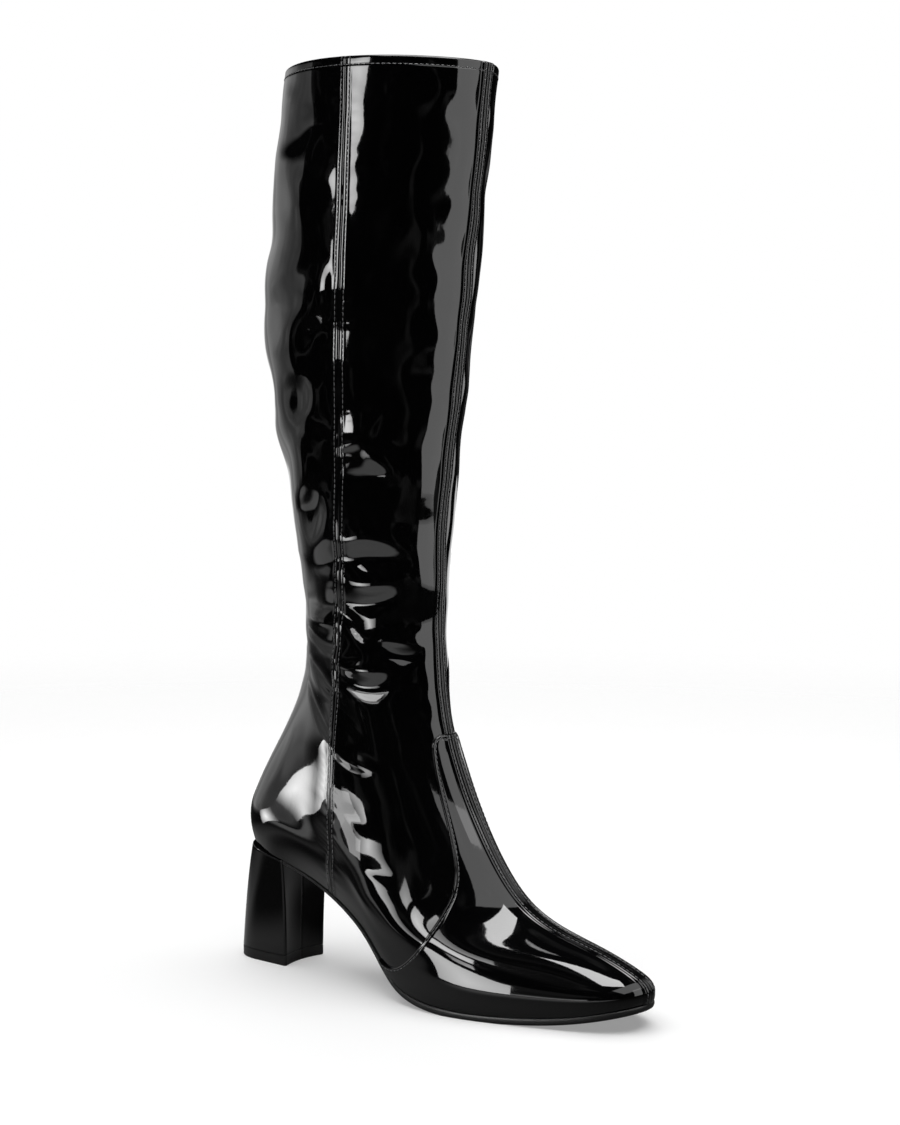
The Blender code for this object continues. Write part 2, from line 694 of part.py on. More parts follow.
def zip_pull():
    """The pull tab: a bar under the bridge, two arms beside it and a slotted tab below. It turns about its
    bar, where its origin is."""
    lines = (
        (-PULL_HALF, -PULL_EYE_HALF, PULL_EYE_HALF, PULL_HALF),
        (-PULL_LONG, -PULL_SLOT_FOOT, -PULL_SLOT_TOP, -PULL_EYE_LONG, -PULL_BAR, PULL_BAR),
        (PULL_AXIS - PULL_BAR, PULL_AXIS + PULL_BAR),
    )

    def filled(a, b, c):
        in_eye = -PULL_EYE_LONG < b < -PULL_BAR
        in_slot = -PULL_SLOT_FOOT < b < -PULL_SLOT_TOP
        return abs(a) > PULL_EYE_HALF or not (in_eye or in_slot)

    return cell_solid("zip_pull", lines, filled, lambda b: 1.0, PULL_AXIS)


def clear_scene():
    for old in list(bpy.data.objects):
        bpy.data.objects.remove(old, do_unlink=True)


clear_scene()
upper()
vamp()
outsole()
insole()
heel()
heel_top_piece()
zip_tape()
zip_slider()
zip_pull()
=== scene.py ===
import math
from collections import namedtuple

import bpy
import bmesh
import numpy as np
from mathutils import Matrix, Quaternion, Vector, noise


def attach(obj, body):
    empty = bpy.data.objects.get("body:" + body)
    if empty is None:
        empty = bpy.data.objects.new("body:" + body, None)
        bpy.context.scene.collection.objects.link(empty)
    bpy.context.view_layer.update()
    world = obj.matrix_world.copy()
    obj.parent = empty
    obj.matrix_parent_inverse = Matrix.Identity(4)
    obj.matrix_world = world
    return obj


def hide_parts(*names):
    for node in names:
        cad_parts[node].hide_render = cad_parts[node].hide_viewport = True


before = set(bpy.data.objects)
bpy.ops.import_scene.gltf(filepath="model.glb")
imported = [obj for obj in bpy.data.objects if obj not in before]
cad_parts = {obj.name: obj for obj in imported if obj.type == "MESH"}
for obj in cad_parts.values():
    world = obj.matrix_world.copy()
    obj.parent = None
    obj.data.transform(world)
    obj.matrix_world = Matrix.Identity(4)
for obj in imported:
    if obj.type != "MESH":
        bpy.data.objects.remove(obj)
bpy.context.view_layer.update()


# The camera. It stands off the outer side of the toe, at shin height, and looks a little down on the boot
# through a short telephoto lens, turned a touch so that the boot stands in the middle of the picture.
VIEW_TURN = math.radians(36.0)
VIEW_DROP = math.radians(3.55)
FRAMING_TURN = math.radians(2.2)
camera = bpy.data.objects.new("camera", bpy.data.cameras.new("camera"))
camera.data.sensor_width = 36.0
camera.data.lens = 58.56
camera.location = (0.6892, -0.7240, 0.2785)
camera.rotation_euler = (math.pi / 2 - VIEW_DROP, 0.0, VIEW_TURN + FRAMING_TURN)
bpy.context.scene.collection.objects.link(camera)
bpy.context.scene.camera = camera


# The studio. A pale floor that runs out into a white surround, part of whose brightness is a painted glow
# that lifts the shadows on it. What the patent leather mirrors is darker: dim walls that are pale behind the
# heel, grey panels to the right and behind, white strips and boxes, cards that make one highlight each, and a
# floor painted dimmer, with painted shadows beside the boot and painted pools of light.
class Wire:
    """An output socket in a node tree. Sums on wires add Math nodes, and node() adds any other kind."""

    def __init__(self, tree, socket):
        self.tree = tree
        self.socket = socket

    @classmethod
    def node(cls, tree, kind, settings=None, links=None, out=0):
        made = tree.nodes.new(kind)
        for name, value in (settings or {}).items():
            setattr(made, name, value)
        for name, value in (links or {}).items():
            if isinstance(value, Wire):
                tree.links.new(value.socket, made.inputs[name])
            else:
                made.inputs[name].default_value = value
        return cls(tree, made.outputs[out]) if made.outputs else None

    def math(self, operation, first, second):
        return Wire.node(self.tree, "ShaderNodeMath", {"operation": operation}, {0: first, 1: second})

    def __add__(self, other):
        return self.math("ADD", self, other)

    def __radd__(self, other):
        return self.math("ADD", other, self)

    def __sub__(self, other):
        return self.math("SUBTRACT", self, other)

    def __rsub__(self, other):
        return self.math("SUBTRACT", other, self)

    def __mul__(self, other):
        return self.math("MULTIPLY", self, other)

    def __rmul__(self, other):
        return self.math("MULTIPLY", other, self)

    def vector(self, operation, other=(0.0, 0.0, 0.0)):
        """A number worked out from two vectors."""
        settings = {"operation": operation}
        return Wire.node(self.tree, "ShaderNodeVectorMath", settings, {0: self, 1: other}, out="Value")

    def smooth(self, low, high):
        """From 0 at low to 1 at high, with soft ends."""
        return Wire.node(
            self.tree,
            "ShaderNodeMapRange",
            {"interpolation_type": "SMOOTHSTEP"},
            {"Value": self, "From Min": low, "From Max": high},
        )


def heading(degrees):
    """A level direction from the boot, in degrees to the right of the way to the camera."""
    turn = VIEW_TURN + math.radians(degrees)
    return Vector((math.sin(turn), -math.cos(turn), 0.0))


WHITE = (1.0, 1.0, 1.0, 1.0)
SURROUND_WHITE = 1.0
SURROUND_PALE = 0.85
SURROUND_DARK = 0.004
SURROUND_FAINT = 0.14
PALE_HEADING = -125.0
PALE_EDGE = (0.655, 0.685)
PALE_TOP = (0.24, 0.36)
PALE_LEAST = 0.5
CLOUD_EDGE = (0.38, 0.62)
SWIRL_EDGE = (0.52, 0.75)
studio = bpy.data.worlds.new("studio")
bpy.context.scene.world = studio
studio.use_nodes = True
air = studio.node_tree
air.nodes.clear()
way = Wire.node(air, "ShaderNodeTexCoord", out="Generated")
rise = Wire.node(air, "ShaderNodeSeparateXYZ", links={"Vector": way}, out="Z")
clouds = Wire.node(air, "ShaderNodeTexNoise", links={"Vector": way, "Scale": 2.6, "Detail": 1.0})
swirls = Wire.node(
    air, "ShaderNodeTexNoise", links={"Vector": way, "Scale": 4.0, "Detail": 1.0, "Distortion": 0.8}
)
pale = way.vector("DOT_PRODUCT", heading(PALE_HEADING)).smooth(*PALE_EDGE) * (1 - rise.smooth(*PALE_TOP))
cloudy = PALE_LEAST + (1 - PALE_LEAST) * clouds.smooth(*CLOUD_EDGE)
mirrored = SURROUND_DARK + SURROUND_FAINT * swirls.smooth(*SWIRL_EDGE) + pale * cloudy * SURROUND_PALE
seen = Wire.node(air, "ShaderNodeLightPath", out="Is Camera Ray")
glow = Wire.node(
    air,
    "ShaderNodeBackground",
    links={"Color": WHITE, "Strength": seen * SURROUND_WHITE + (1 - seen) * mirrored},
)
Wire.node(air, "ShaderNodeOutputWorld", links={"Surface": glow})
bpy.context.scene.view_settings.view_transform = "Standard"


def off(degrees, distance, x, z):
    """A place at a distance along a heading from a point of the boot."""
    return heading(degrees) * distance + Vector((x, 0, z))


Softbox = namedtuple("Softbox", "name place aim width height roll radiance grid")
OPEN = 90
SOFTBOXES = [
    Softbox("right_panel", off(63, 1.2, 0.08, 0.45), (0.11, 0, 0.40), 0.64, 1.0, 0, 2.3, OPEN),
    Softbox("upper_right_panel", off(50, 0.9, 0.1, 1.05), (0.13, 0, 0.08), 1.45, 0.76, 10, 2.1, OPEN),
    Softbox("back_right_panel", off(127, 1.3, 0.08, 0.45), (0.08, 0, 0.40), 0.30, 1.0, 0, 1.6, OPEN),
    Softbox("top_strip", (0.237, -0.554, 0.460), (0.087, -0.038, 0.433), 0.16, 0.28, 0, 15.0, 24),
    Softbox("low_strip", off(-27, 0.56, 0.08, 0.045), (0.085, -0.02, 0.18), 0.30, 0.08, 0, 13.0, 18),
    Softbox("ankle_card", (0.135, -0.275, 0.304), (0.081, -0.021, 0.154), 0.09, 0.06, 0, 12.0, 30),
    Softbox("waist_card", (-0.009, -0.151, 0.068), (0.074, -0.028, 0.091), 0.042, 0.027, 0, 6.0, 40),
    Softbox("arch_card", (0.040, -0.170, 0.075), (0.089, -0.028, 0.075), 0.10, 0.022, 0, 12.0, 18),
    Softbox("ball_card", (0.085, -0.410, 0.300), (0.121, -0.028, 0.042), 0.12, 0.08, 0, 14.0, 20),
    Softbox("side_card", (0.110, -0.444, 0.211), (0.121, -0.028, 0.042), 0.06, 0.05, 0, 8.0, 14),
    Softbox("counter_card", (-0.133, -0.117, 0.074), (0.042, -0.024, 0.098), 0.105, 0.045, 24, 13.0, 12),
    Softbox("vamp_card", (0.133, -0.167, 0.040), (0.150, -0.029, 0.024), 0.10, 0.052, 0, 13.0, 40),
    Softbox("overhead_box", (0.31, -0.11, 0.78), (0.17, 0.0, 0.03), 0.34, 0.26, 0, 13.0, OPEN),
    Softbox("zip_panel", off(184, 1.25, 0.08, 0.48), (0.08, 0, 0.38), 0.26, 0.95, 0, 1.6, OPEN),
    Softbox("zip_low", off(168, 0.7, 0.1, 0.16), (0.1, 0.02, 0.06), 0.40, 0.12, 0, 1.2, OPEN),
]


def hang(box):
    """A flat light at a place that faces a point, as bright as the patch it makes in the lacquer has to be. A
    grid keeps its light within an angle of the way it faces, brightest in the middle."""
    light = bpy.data.lights.new(box.name, "AREA")
    light.shape = "RECTANGLE"
    light.size, light.size_y = box.width, box.height
    light.energy = box.radiance * math.pi * box.width * box.height
    if box.grid < OPEN:
        half = math.radians(box.grid)
        light.spread = 2 * half
        light.energy *= 1 - half / math.tan(half)
    lamp = bpy.data.objects.new(box.name, light)
    lamp.location = box.place
    facing = (Vector(box.aim) - Vector(box.place)).to_track_quat("-Z", "Y")
    lamp.rotation_euler = (facing @ Quaternion((0, 0, 1), math.radians(box.roll))).to_euler()
    lamp.visible_camera = False
    bpy.context.scene.collection.objects.link(lamp)
    return lamp


for box in SOFTBOXES:
    hang(box).visible_diffuse = False
sky = Softbox("floor_light", (0.1, 0.0, 2.4), (0.1, 0.0, 0.0), 3.2, 3.2, 0, 3.2, OPEN)
hang(sky).visible_glossy = False

FLOOR_RADIUS = 3.0
FLOOR_SIDES = 96
FLOOR_FADE = (0.5, 1.6)
FLOOR_SEEN = 0.95
FLOOR_GLOW = 0.3
# Painted light and shade: the floor as the leather mirrors it is darker than the floor seen, brightest close
# round the boot and dim further out.
FLOOR_MIRRORED = 0.32
MIRRORED_NEAR = (0.08, 0.34)
MIRRORED_FAR = 0.02
Patch = namedtuple("Patch", "x y core radius")
# Painted shadows: darker patches of the floor beside the boot, seen only in the leather's reflections, and
# the share of light left in their cores.
PAINTED_SHADOW_PATCHES = [Patch(-0.07, -0.11, 0.0255, 0.085), Patch(0.11, 0.05, 0.03, 0.10)]
PAINTED_SHADOW_KEEP = 0.12
# Painted pools of light: pale patches of the floor on the camera's side of the boot, seen only in the
# leather's reflections, and how much they add.
PAINTED_LIGHT_PATCHES = [Patch(0.25, -0.31, 0.12, 0.24), Patch(-0.28, -0.37, 0.10, 0.20)]
PAINTED_LIGHT_LIFT = 0.95
floor_mesh = bpy.data.meshes.new("floor")
work = bmesh.new()
bmesh.ops.create_circle(work, cap_ends=True, segments=FLOOR_SIDES, radius=FLOOR_RADIUS)
work.to_mesh(floor_mesh)
work.free()
floor = bpy.data.objects.new("floor", floor_mesh)
bpy.context.scene.collection.objects.link(floor)
paper = bpy.data.materials.new("floor_paper")
paper.use_nodes = True
sheet = paper.node_tree
sheet.nodes.clear()
at = Wire.node(sheet, "ShaderNodeTexCoord", out="Object")


def outside(patch):
    """From 0 in the core of a patch of the floor to 1 beyond its radius."""
    return at.vector("DISTANCE", (patch.x, patch.y, 0.0)).smooth(patch.core, patch.radius)


reach = at.vector("LENGTH")
direct = Wire.node(sheet, "ShaderNodeLightPath", out="Is Camera Ray")
# Painted light and shade for all but camera rays: a dimmer floor, brightest close round the boot and fading
# out.
mirrored = FLOOR_MIRRORED * (1 - reach.smooth(*MIRRORED_NEAR)) + MIRRORED_FAR
# Painted shadows darken the mirrored floor.
for patch in PAINTED_SHADOW_PATCHES:
    mirrored = mirrored * (PAINTED_SHADOW_KEEP + (1 - PAINTED_SHADOW_KEEP) * outside(patch))
# Painted pools of light brighten the mirrored floor.
for patch in PAINTED_LIGHT_PATCHES:
    mirrored = mirrored + PAINTED_LIGHT_LIFT * (1 - outside(patch))
bright = mirrored + direct * (FLOOR_SEEN - mirrored)
matt = Wire.node(sheet, "ShaderNodeBsdfDiffuse", links={"Color": bright})
# Painted light: the floor seen by the camera partly glows, which lifts the shadows on it.
shadow_lifting_glow = Wire.node(sheet, "ShaderNodeEmission", links={"Color": WHITE, "Strength": 1.0})
lifted = Wire.node(sheet, "ShaderNodeMixShader", links={0: direct * FLOOR_GLOW, 1: matt, 2: shadow_lifting_glow})
clear = Wire.node(sheet, "ShaderNodeBsdfTransparent")
faded = Wire.node(sheet, "ShaderNodeMixShader", links={0: reach.smooth(*FLOOR_FADE), 1: lifted, 2: clear})
Wire.node(sheet, "ShaderNodeOutputMaterial", links={"Surface": faded})
floor_mesh.materials.append(paper)


# The upper. Two panels of black patent leather, lined and lasted to the foot, joined by a raised seam up the
# front and a topstitched seam up the outer side, slit along the inner side for the zip and turned in at the
# collar. Worn-in folds gather round the ankle and along the side seam.
MM = 0.001
Section = namedtuple(
    "Section", "front_x front_y front_z back_x back_y back_z tip fore ball waist heel rear sole_share"
)
SECTIONS = [
    Section(229.0, 13.0, 13.0, -11.5, 0.0, 65.6, 42.0, 35.5, 37.5, 27.5, 27.5, 44.0, 1.00),
    Section(230.0, 12.5, 19.5, -13.8, 0.0, 74.0, 42.0, 36.0, 38.8, 29.5, 31.0, 46.5, 0.96),
    Section(222.0, 12.0, 25.6, -14.2, 0.0, 84.0, 36.5, 34.8, 38.5, 30.5, 33.5, 46.0, 0.88),
    Section(204.0, 11.2, 32.3, -11.0, 0.0, 94.0, 31.5, 32.5, 37.8, 31.0, 33.0, 42.0, 0.76),
    Section(182.5, 10.4, 38.2, -6.2, 0.5, 104.0, 28.5, 30.0, 36.0, 31.0, 31.5, 38.0, 0.62),
    Section(163.5, 9.8, 46.8, -0.3, 1.0, 114.5, 26.5, 29.0, 34.0, 31.5, 30.5, 35.0, 0.48),
    Section(148.8, 9.3, 60.4, 6.3, 1.5, 125.5, 25.5, 28.0, 32.5, 32.0, 30.0, 32.0, 0.34),
    Section(135.8, 8.9, 79.2, 12.8, 2.2, 137.0, 24.5, 27.5, 31.5, 32.0, 30.0, 30.0, 0.22),
    Section(123.3, 8.7, 102.3, 19.0, 3.0, 150.0, 23.5, 27.0, 31.0, 32.0, 30.0, 28.0, 0.12),
    Section(112.4, 8.6, 130.5, 24.0, 3.8, 166.0, 23.0, 26.8, 31.0, 31.5, 30.0, 28.0, 0.05),
    Section(107.0, 8.6, 160.0, 26.0, 4.5, 182.0, 24.0, 27.5, 31.5, 32.0, 31.0, 30.0, 0.01),
    Section(105.8, 9.0, 190.0, 26.0, 5.0, 200.0, 26.0, 29.0, 32.5, 33.5, 33.0, 32.0, 0.00),
    Section(107.0, 9.8, 235.0, 23.0, 5.0, 235.0, 30.5, 33.5, 38.5, 40.0, 39.0, 37.0, 0.00),
    Section(111.5, 12.0, 290.0, 13.3, 4.7, 290.0, 33.0, 38.0, 45.5, 48.0, 47.0, 44.0, 0.00),
    Section(117.0, 14.5, 345.0, 6.6, 4.0, 345.0, 34.5, 40.5, 49.5, 52.5, 51.0, 49.0, 0.00),
    Section(123.0, 15.5, 400.0, 12.5, 3.5, 400.0, 34.5, 41.0, 50.0, 53.0, 52.0, 50.0, 0.00),
    Section(128.0, 15.5, 440.0, 18.9, 3.5, 440.0, 35.0, 41.0, 49.0, 52.0, 51.5, 50.0, 0.00),
    Section(132.0, 15.5, 471.0, 22.0, 3.5, 471.0, 35.5, 41.0, 48.0, 51.0, 51.0, 50.0, 0.00),
]
WIDTH_STATIONS = (0.0, 0.10, 0.34, 0.62, 0.86, 1.0)
SWING_POWER = 1.5
FEATHER_LINE = {
    -11.5: 65.6, 18.7: 59.0, 50.0: 48.8, 68.6: 40.3, 85.0: 29.6, 96.0: 19.2,
    106.0: 11.0, 118.5: 6.2, 137.0: 3.9, 166.0: 3.7, 197.0: 6.3, 229.0: 13.0,
}


def natural_spline(knots, values):
    """A curve with no jump in its bend through the values at the knots. Values may have columns."""
    knots = np.asarray(knots, float)
    values = np.asarray(values, float)
    spans = np.diff(knots)
    matrix = np.eye(len(knots))
    turn = np.zeros_like(values)
    for i in range(1, len(knots) - 1):
        matrix[i, i - 1 : i + 2] = spans[i - 1], 2 * (spans[i - 1] + spans[i]), spans[i]
        turn[i] = 6 * ((values[i + 1] - values[i]) / spans[i] - (values[i] - values[i - 1]) / spans[i - 1])
    bend = np.linalg.solve(matrix, turn)

    def curve(u):
        u = np.asarray(u, float)
        i = np.clip(np.searchsorted(knots, u, side="right") - 1, 0, len(knots) - 2)
        after, before, span = knots[i + 1] - u, u - knots[i], spans[i]
        if values.ndim > 1:
            after, before, span = after[..., None], before[..., None], span[..., None]
        return (
            (bend[i] * after**3 + bend[i + 1] * before**3) / (6 * span)
            + (values[i] / span - bend[i] * span / 6) * after
            + (values[i + 1] / span - bend[i + 1] * span / 6) * before
        )

    return curve


def spline_of(table):
    return natural_spline(list(table), list(table.values()))


feather_z = spline_of(FEATHER_LINE)
width_share = natural_spline(WIDTH_STATIONS, np.eye(len(WIDTH_STATIONS)))
rows = np.array(SECTIONS)
steps = np.diff(rows, axis=0)
climbed = 0.5 * (np.linalg.norm(steps[:, 0:3], axis=1) + np.linalg.norm(steps[:, 3:6], axis=1))
KNOTS = np.concatenate([[0.0], np.cumsum(climbed)])
TOP = KNOTS[-1]
section_at = natural_spline(KNOTS, rows)


def last_point(up, angle):
    """The last's surface in mm: up is the climb from the feather line, angle runs from 0 at the centre front
    to pi at the back, below zero on the outer side and above it on the inner side."""
    up, angle = np.broadcast_arrays(np.asarray(up, float), np.asarray(angle, float))
    row = section_at(up)
    front, back, widths = row[..., 0:3], row[..., 3:6], row[..., 6:12]
    along = (1 - np.cos(angle)) / 2
    toe, heel = SECTIONS[0][0:3], SECTIONS[0][3:6]
    sag = feather_z(toe[0] + (heel[0] - toe[0]) * along) - (toe[2] + (heel[2] - toe[2]) * along)
    x = front[..., 0] + (back[..., 0] - front[..., 0]) * along
    z = front[..., 2] + (back[..., 2] - front[..., 2]) * along + np.clip(row[..., 12], 0, 1) * sag
    centre = back[..., 1] + (front[..., 1] - back[..., 1]) * (1 - along) ** SWING_POWER
    half = np.sum(widths * width_share(along), axis=-1)
    return np.stack([x, centre + np.sin(angle) * half, z], -1)


SMALL_CLIMB = 0.05
SMALL_TURN = 0.002


def last_normal(up, angle):
    across = last_point(up, angle + SMALL_TURN) - last_point(up, angle - SMALL_TURN)
    climb = last_point(up + SMALL_CLIMB, angle) - last_point(up - SMALL_CLIMB, angle)
    square = np.cross(across, climb)
    return square / np.linalg.norm(square, axis=-1, keepdims=True)


def turn_per_mm(up, angle):
    """How far the angle turns for a millimetre round the ring."""
    across = last_point(up, angle + SMALL_TURN) - last_point(up, angle - SMALL_TURN)
    return 2 * SMALL_TURN / np.linalg.norm(across, axis=-1)


def on_last(up, angle, height):
    return last_point(up, angle) + last_normal(up, angle) * np.asarray(height, float)[..., None]


# The lines on the leather, as degrees or a share of the ring at a climb.
side_degrees = spline_of({
    2.6: -115.0, 44.8: -106.8, 117.3: -98.2, 172.0: -90.8, 223.6: -81.2, 274.7: -74.5,
    324.8: -72.2, 373.8: -73.2, 422.8: -76.8, 468.6: -80.8,
})
zip_share = spline_of({0.0: 0.56, 20.0: 0.53, 60.0: 0.48, 120.0: 0.42, 190.0: 0.40, 300.0: 0.42, 470.0: 0.48})
ZIP_FOOT = float(KNOTS[1])
ZIP_HALF = 5.0


def side_angle(up):
    return np.radians(side_degrees(up))


def zip_angle(up):
    return np.arccos(1 - 2 * zip_share(up))


def zip_half(up):
    """Half the width of the zip's slit, which is rounded at its foot."""
    rise = np.clip((up - ZIP_FOOT) / ZIP_HALF, 0, 1)
    return ZIP_HALF * np.sqrt(1 - (1 - rise) ** 2)


def from_line(up, angle, line):
    """How many mm round the ring an angle lies from a line."""
    away = (angle - line + np.pi) % (2 * np.pi) - np.pi
    return away / turn_per_mm(up, line)


def hump(distance, half):
    return np.exp(-((distance / half) ** 2))


def ease(share):
    share = np.clip(share, 0, 1)
    return share * share * (3 - 2 * share)


# Folds: where the middle of each lies, how long, wide and high it is in mm, how it slants and how it bows.
# Each narrows to its ends and is steeper on its lower side.
Fold = namedtuple("Fold", "climb degrees long wide high slant bow")
FOLDS = [
    Fold(268, -52, 32, 6.5, 1.5, -48, 0), Fold(282, -62, 34, 7.0, 1.0, 40, 3),
    Fold(259, -60, 30, 4.5, -1.2, 10, 3),
    Fold(229, -57, 46, 8.0, 1.3, -4, -6), Fold(218, -54, 44, 5.5, -1.1, -4, -2),
    Fold(197, -64, 36, 5.5, -1.7, 6, 4), Fold(187, -77, 26, 4.5, -1.2, -45, 0),
    Fold(205, -62, 34, 6.0, 1.0, 6, 3), Fold(175, -40, 28, 3.4, -1.6, 0, 3),
    Fold(181, -40, 30, 4.0, 1.0, 0, 2), Fold(157, -70, 40, 5.5, -1.8, 6, 5),
    Fold(165, -70, 38, 5.0, 1.1, 8, 4), Fold(169, -80, 20, 3.4, -1.1, 15, 0),
    Fold(139, -84, 26, 5.0, -0.7, -30, 0), Fold(119, -85, 36, 5.0, 0.9, 8, 0),
    Fold(352, -82, 36, 9.0, 2.4, 90, 0), Fold(324, -86, 36, 9.0, -2.4, 90, 0),
    Fold(423, -95, 30, 7.0, 1.6, 90, 0),
    Fold(318, -86, 26, 7.0, 0.9, 40, 2), Fold(300, -98, 30, 8.0, -2.0, 75, 0),
    Fold(262, -101, 42, 9.0, 2.2, 75, 6), Fold(286, -84, 26, 5.0, -0.9, -30, 2),
    Fold(240, -98, 32, 7.0, -2.0, 68, 0), Fold(216, -93, 32, 6.0, -1.1, 20, 3),
    Fold(192, -106, 34, 6.5, -1.4, 12, 4), Fold(173, -108, 38, 5.5, -1.6, -8, 4),
    Fold(183, -108, 38, 6.0, 1.0, 2, 3), Fold(152, -110, 38, 6.0, -1.4, -20, 3),
    Fold(130, -114, 42, 5.0, -1.1, -36, 2), Fold(187, -20, 30, 6.0, -0.5, 6, 3),
    Fold(163, -18, 30, 6.0, -0.5, -8, 2), Fold(151, -22, 26, 5.0, -0.5, 0, 0),
    Fold(70, -79, 26, 4.5, -0.35, 12, 0), Fold(90, -86, 22, 4.5, -0.2, 12, 0),
    Fold(186, 176, 50, 7.0, -1.4, 0, 4), Fold(166, -176, 54, 7.0, -1.4, 0, -3),
    Fold(206, 172, 44, 8.0, -1.0, 6, 3), Fold(150, 170, 44, 7.0, -0.9, 4, 2),
    Fold(268, 60, 34, 6.0, -1.4, -10, 3), Fold(228, 52, 40, 7.0, -1.2, 6, -4),
    Fold(198, 58, 34, 5.5, -1.5, -6, 3), Fold(176, 44, 30, 3.6, -1.3, 0, 2),
    Fold(158, 56, 36, 5.5, -1.5, -6, 3), Fold(140, 52, 34, 5.0, -0.9, 10, 0),
    Fold(330, 58, 44, 9.0, -1.0, -70, 4), Fold(394, 60, 40, 9.0, -0.9, -70, 4),
    Fold(300, 118, 38, 9.0, -1.1, -60, 4), Fold(246, 122, 38, 7.0, -1.2, -48, 0),
    Fold(214, 120, 32, 6.0, -1.1, -20, 3), Fold(190, 126, 38, 6.0, -1.4, -10, 4),
    Fold(170, 122, 38, 5.5, -1.4, 8, 4), Fold(150, 128, 38, 6.0, -1.2, 20, 3),
]
FOLD_LEAN, FOLD_END, FOLD_TAPER = 0.35, 0.3, 1.5
WAVE_HIGH, WAVE_LONG = 1.4, 25.0
RIPPLE_HIGH, RIPPLE_LONG, RIPPLE_SHIFT = 0.28, 12.0, 31.0
CRUMPLE_HIGH, CRUMPLE_LEVEL, CRUMPLE_SHIFT = 0.25, 0.35, 70.0
CRUMPLE_SIZE = (34.0, 34.0, 17.0)
WRINKLE_HIGH, WRINKLE_LONG, WRINKLE_REACH = 0.03, 6.0, 24.0
ZIP_FLAT, ZIP_EASE = 2.0, 14.0
COLLAR_EASE, COLLAR_LEFT = 24.0, 0.15
COUNTER_EDGE = spline_of({40.0: 146.5, 51.1: 145.0, 70.4: 142.2, 93.8: 140.8, 104.0: 140.5})
COUNTER_HIGH, COUNTER_WIDE, COUNTER_FOOT, COUNTER_TOP, COUNTER_END = 0.3, 1.3, 38.0, 104.0, 8.0

# Where the waves start up the boot and over how far they grow, and where they swell or lie calmer: the middle
# of a zone, in degrees or in mm from a seam, half its width and the share by which it changes them.
FLANK_RISE, SEAM_RISE, SHAFT_RISE, ANKLE_RISE = (12, 30), (30, 40), (105, 70), (120, 45)
CALF_RISE, ANKLE_END, TAUT_RISE = (240, 60), (300, 80), (330, 40)
Zone = namedtuple("Zone", "middle half share")
FLANKS = Zone(95.0, 40.0, 0.6)
SLACK_BACK = Zone(-118.0, 34.0, 0.7)
FIRM_FRONT = Zone(0.0, 22.0, -0.7)
CALM_FRONT = Zone(-16.0, 15.0, -0.25)
TAUT_SEAM = Zone(10.0, 12.0, -0.75)


def noise_at(points, stretch):
    """Smooth noise at points in mm, with the size of its swells, or their sizes along x, y and z."""
    spots = (points / np.asarray(stretch, float)).reshape(-1, 3)
    return np.array([noise.noise(Vector(spot)) for spot in spots]).reshape(points.shape[:-1])


def above(up, start, over):
    return ease((up - start) / over)


def below(up, end, over):
    return ease((end - up) / over)


def changed(zone, distance, weight=1.0):
    return 1 + zone.share * hump(distance - zone.middle, zone.half) * weight


def fold_rise(up, angle):
    """The soft troughs and ridges of the leather, flat beside the zip and on the firm toe and heel."""
    up, angle = np.broadcast_arrays(np.asarray(up, float), np.asarray(angle, float))
    total = np.zeros(up.shape)
    for fold in FOLDS:
        round_mm = from_line(fold.climb, angle, math.radians(fold.degrees))
        rise_mm = up - fold.climb
        slant = math.radians(fold.slant)
        along = (round_mm * math.cos(slant) + rise_mm * math.sin(slant)) / (fold.long / 2)
        across = rise_mm * math.cos(slant) - round_mm * math.sin(slant) - fold.bow * along**2
        taper = np.clip(1 - along**2, 0, 1)
        wide = fold.wide * (FOLD_END + (1 - FOLD_END) * taper) * (1 + FOLD_LEAN * np.sign(across))
        total += fold.high * taper**FOLD_TAPER * hump(across, wide)
    spots = last_point(up, angle)
    degrees = np.degrees(angle)
    from_front = from_line(up, angle, 0.0)
    from_seam = from_line(up, angle, side_angle(up))
    flank = hump(np.abs(degrees) - FLANKS.middle, FLANKS.half) * above(up, *FLANK_RISE)
    shaft = np.maximum(above(up, *SHAFT_RISE), FLANKS.share * flank)
    calm = changed(CALM_FRONT, from_front)
    slack = changed(SLACK_BACK, degrees)
    taut = changed(TAUT_SEAM, from_seam, above(up, *TAUT_RISE))
    total += WAVE_HIGH * shaft * calm * slack * taut * noise_at(spots, WAVE_LONG)
    total += RIPPLE_HIGH * above(up, *CALF_RISE) * noise_at(spots + RIPPLE_SHIFT, RIPPLE_LONG)
    ankle = above(up, *ANKLE_RISE) * below(up, *ANKLE_END)
    creased = CRUMPLE_LEVEL - np.abs(2 * noise_at(spots + CRUMPLE_SHIFT, CRUMPLE_SIZE))
    total += CRUMPLE_HIGH * ankle * changed(FIRM_FRONT, from_front) * creased
    near_seam = hump(from_seam, WRINKLE_REACH) * above(up, *SEAM_RISE)
    total += WRINKLE_HIGH * near_seam * noise_at(spots, WRINKLE_LONG)
    beside_zip = np.abs(from_line(up, angle, zip_angle(up))) - ZIP_HALF
    total *= ease((beside_zip - ZIP_FLAT) / ZIP_EASE) * ease((TOP - up) / COLLAR_EASE + COLLAR_LEFT)
    counter_line = np.abs(from_line(up, np.abs(angle), np.radians(COUNTER_EDGE(up))))
    counter = COUNTER_HIGH * hump(counter_line, COUNTER_WIDE) * above(up, COUNTER_FOOT, COUNTER_END)
    return total + counter * below(up, COUNTER_TOP, COUNTER_END)


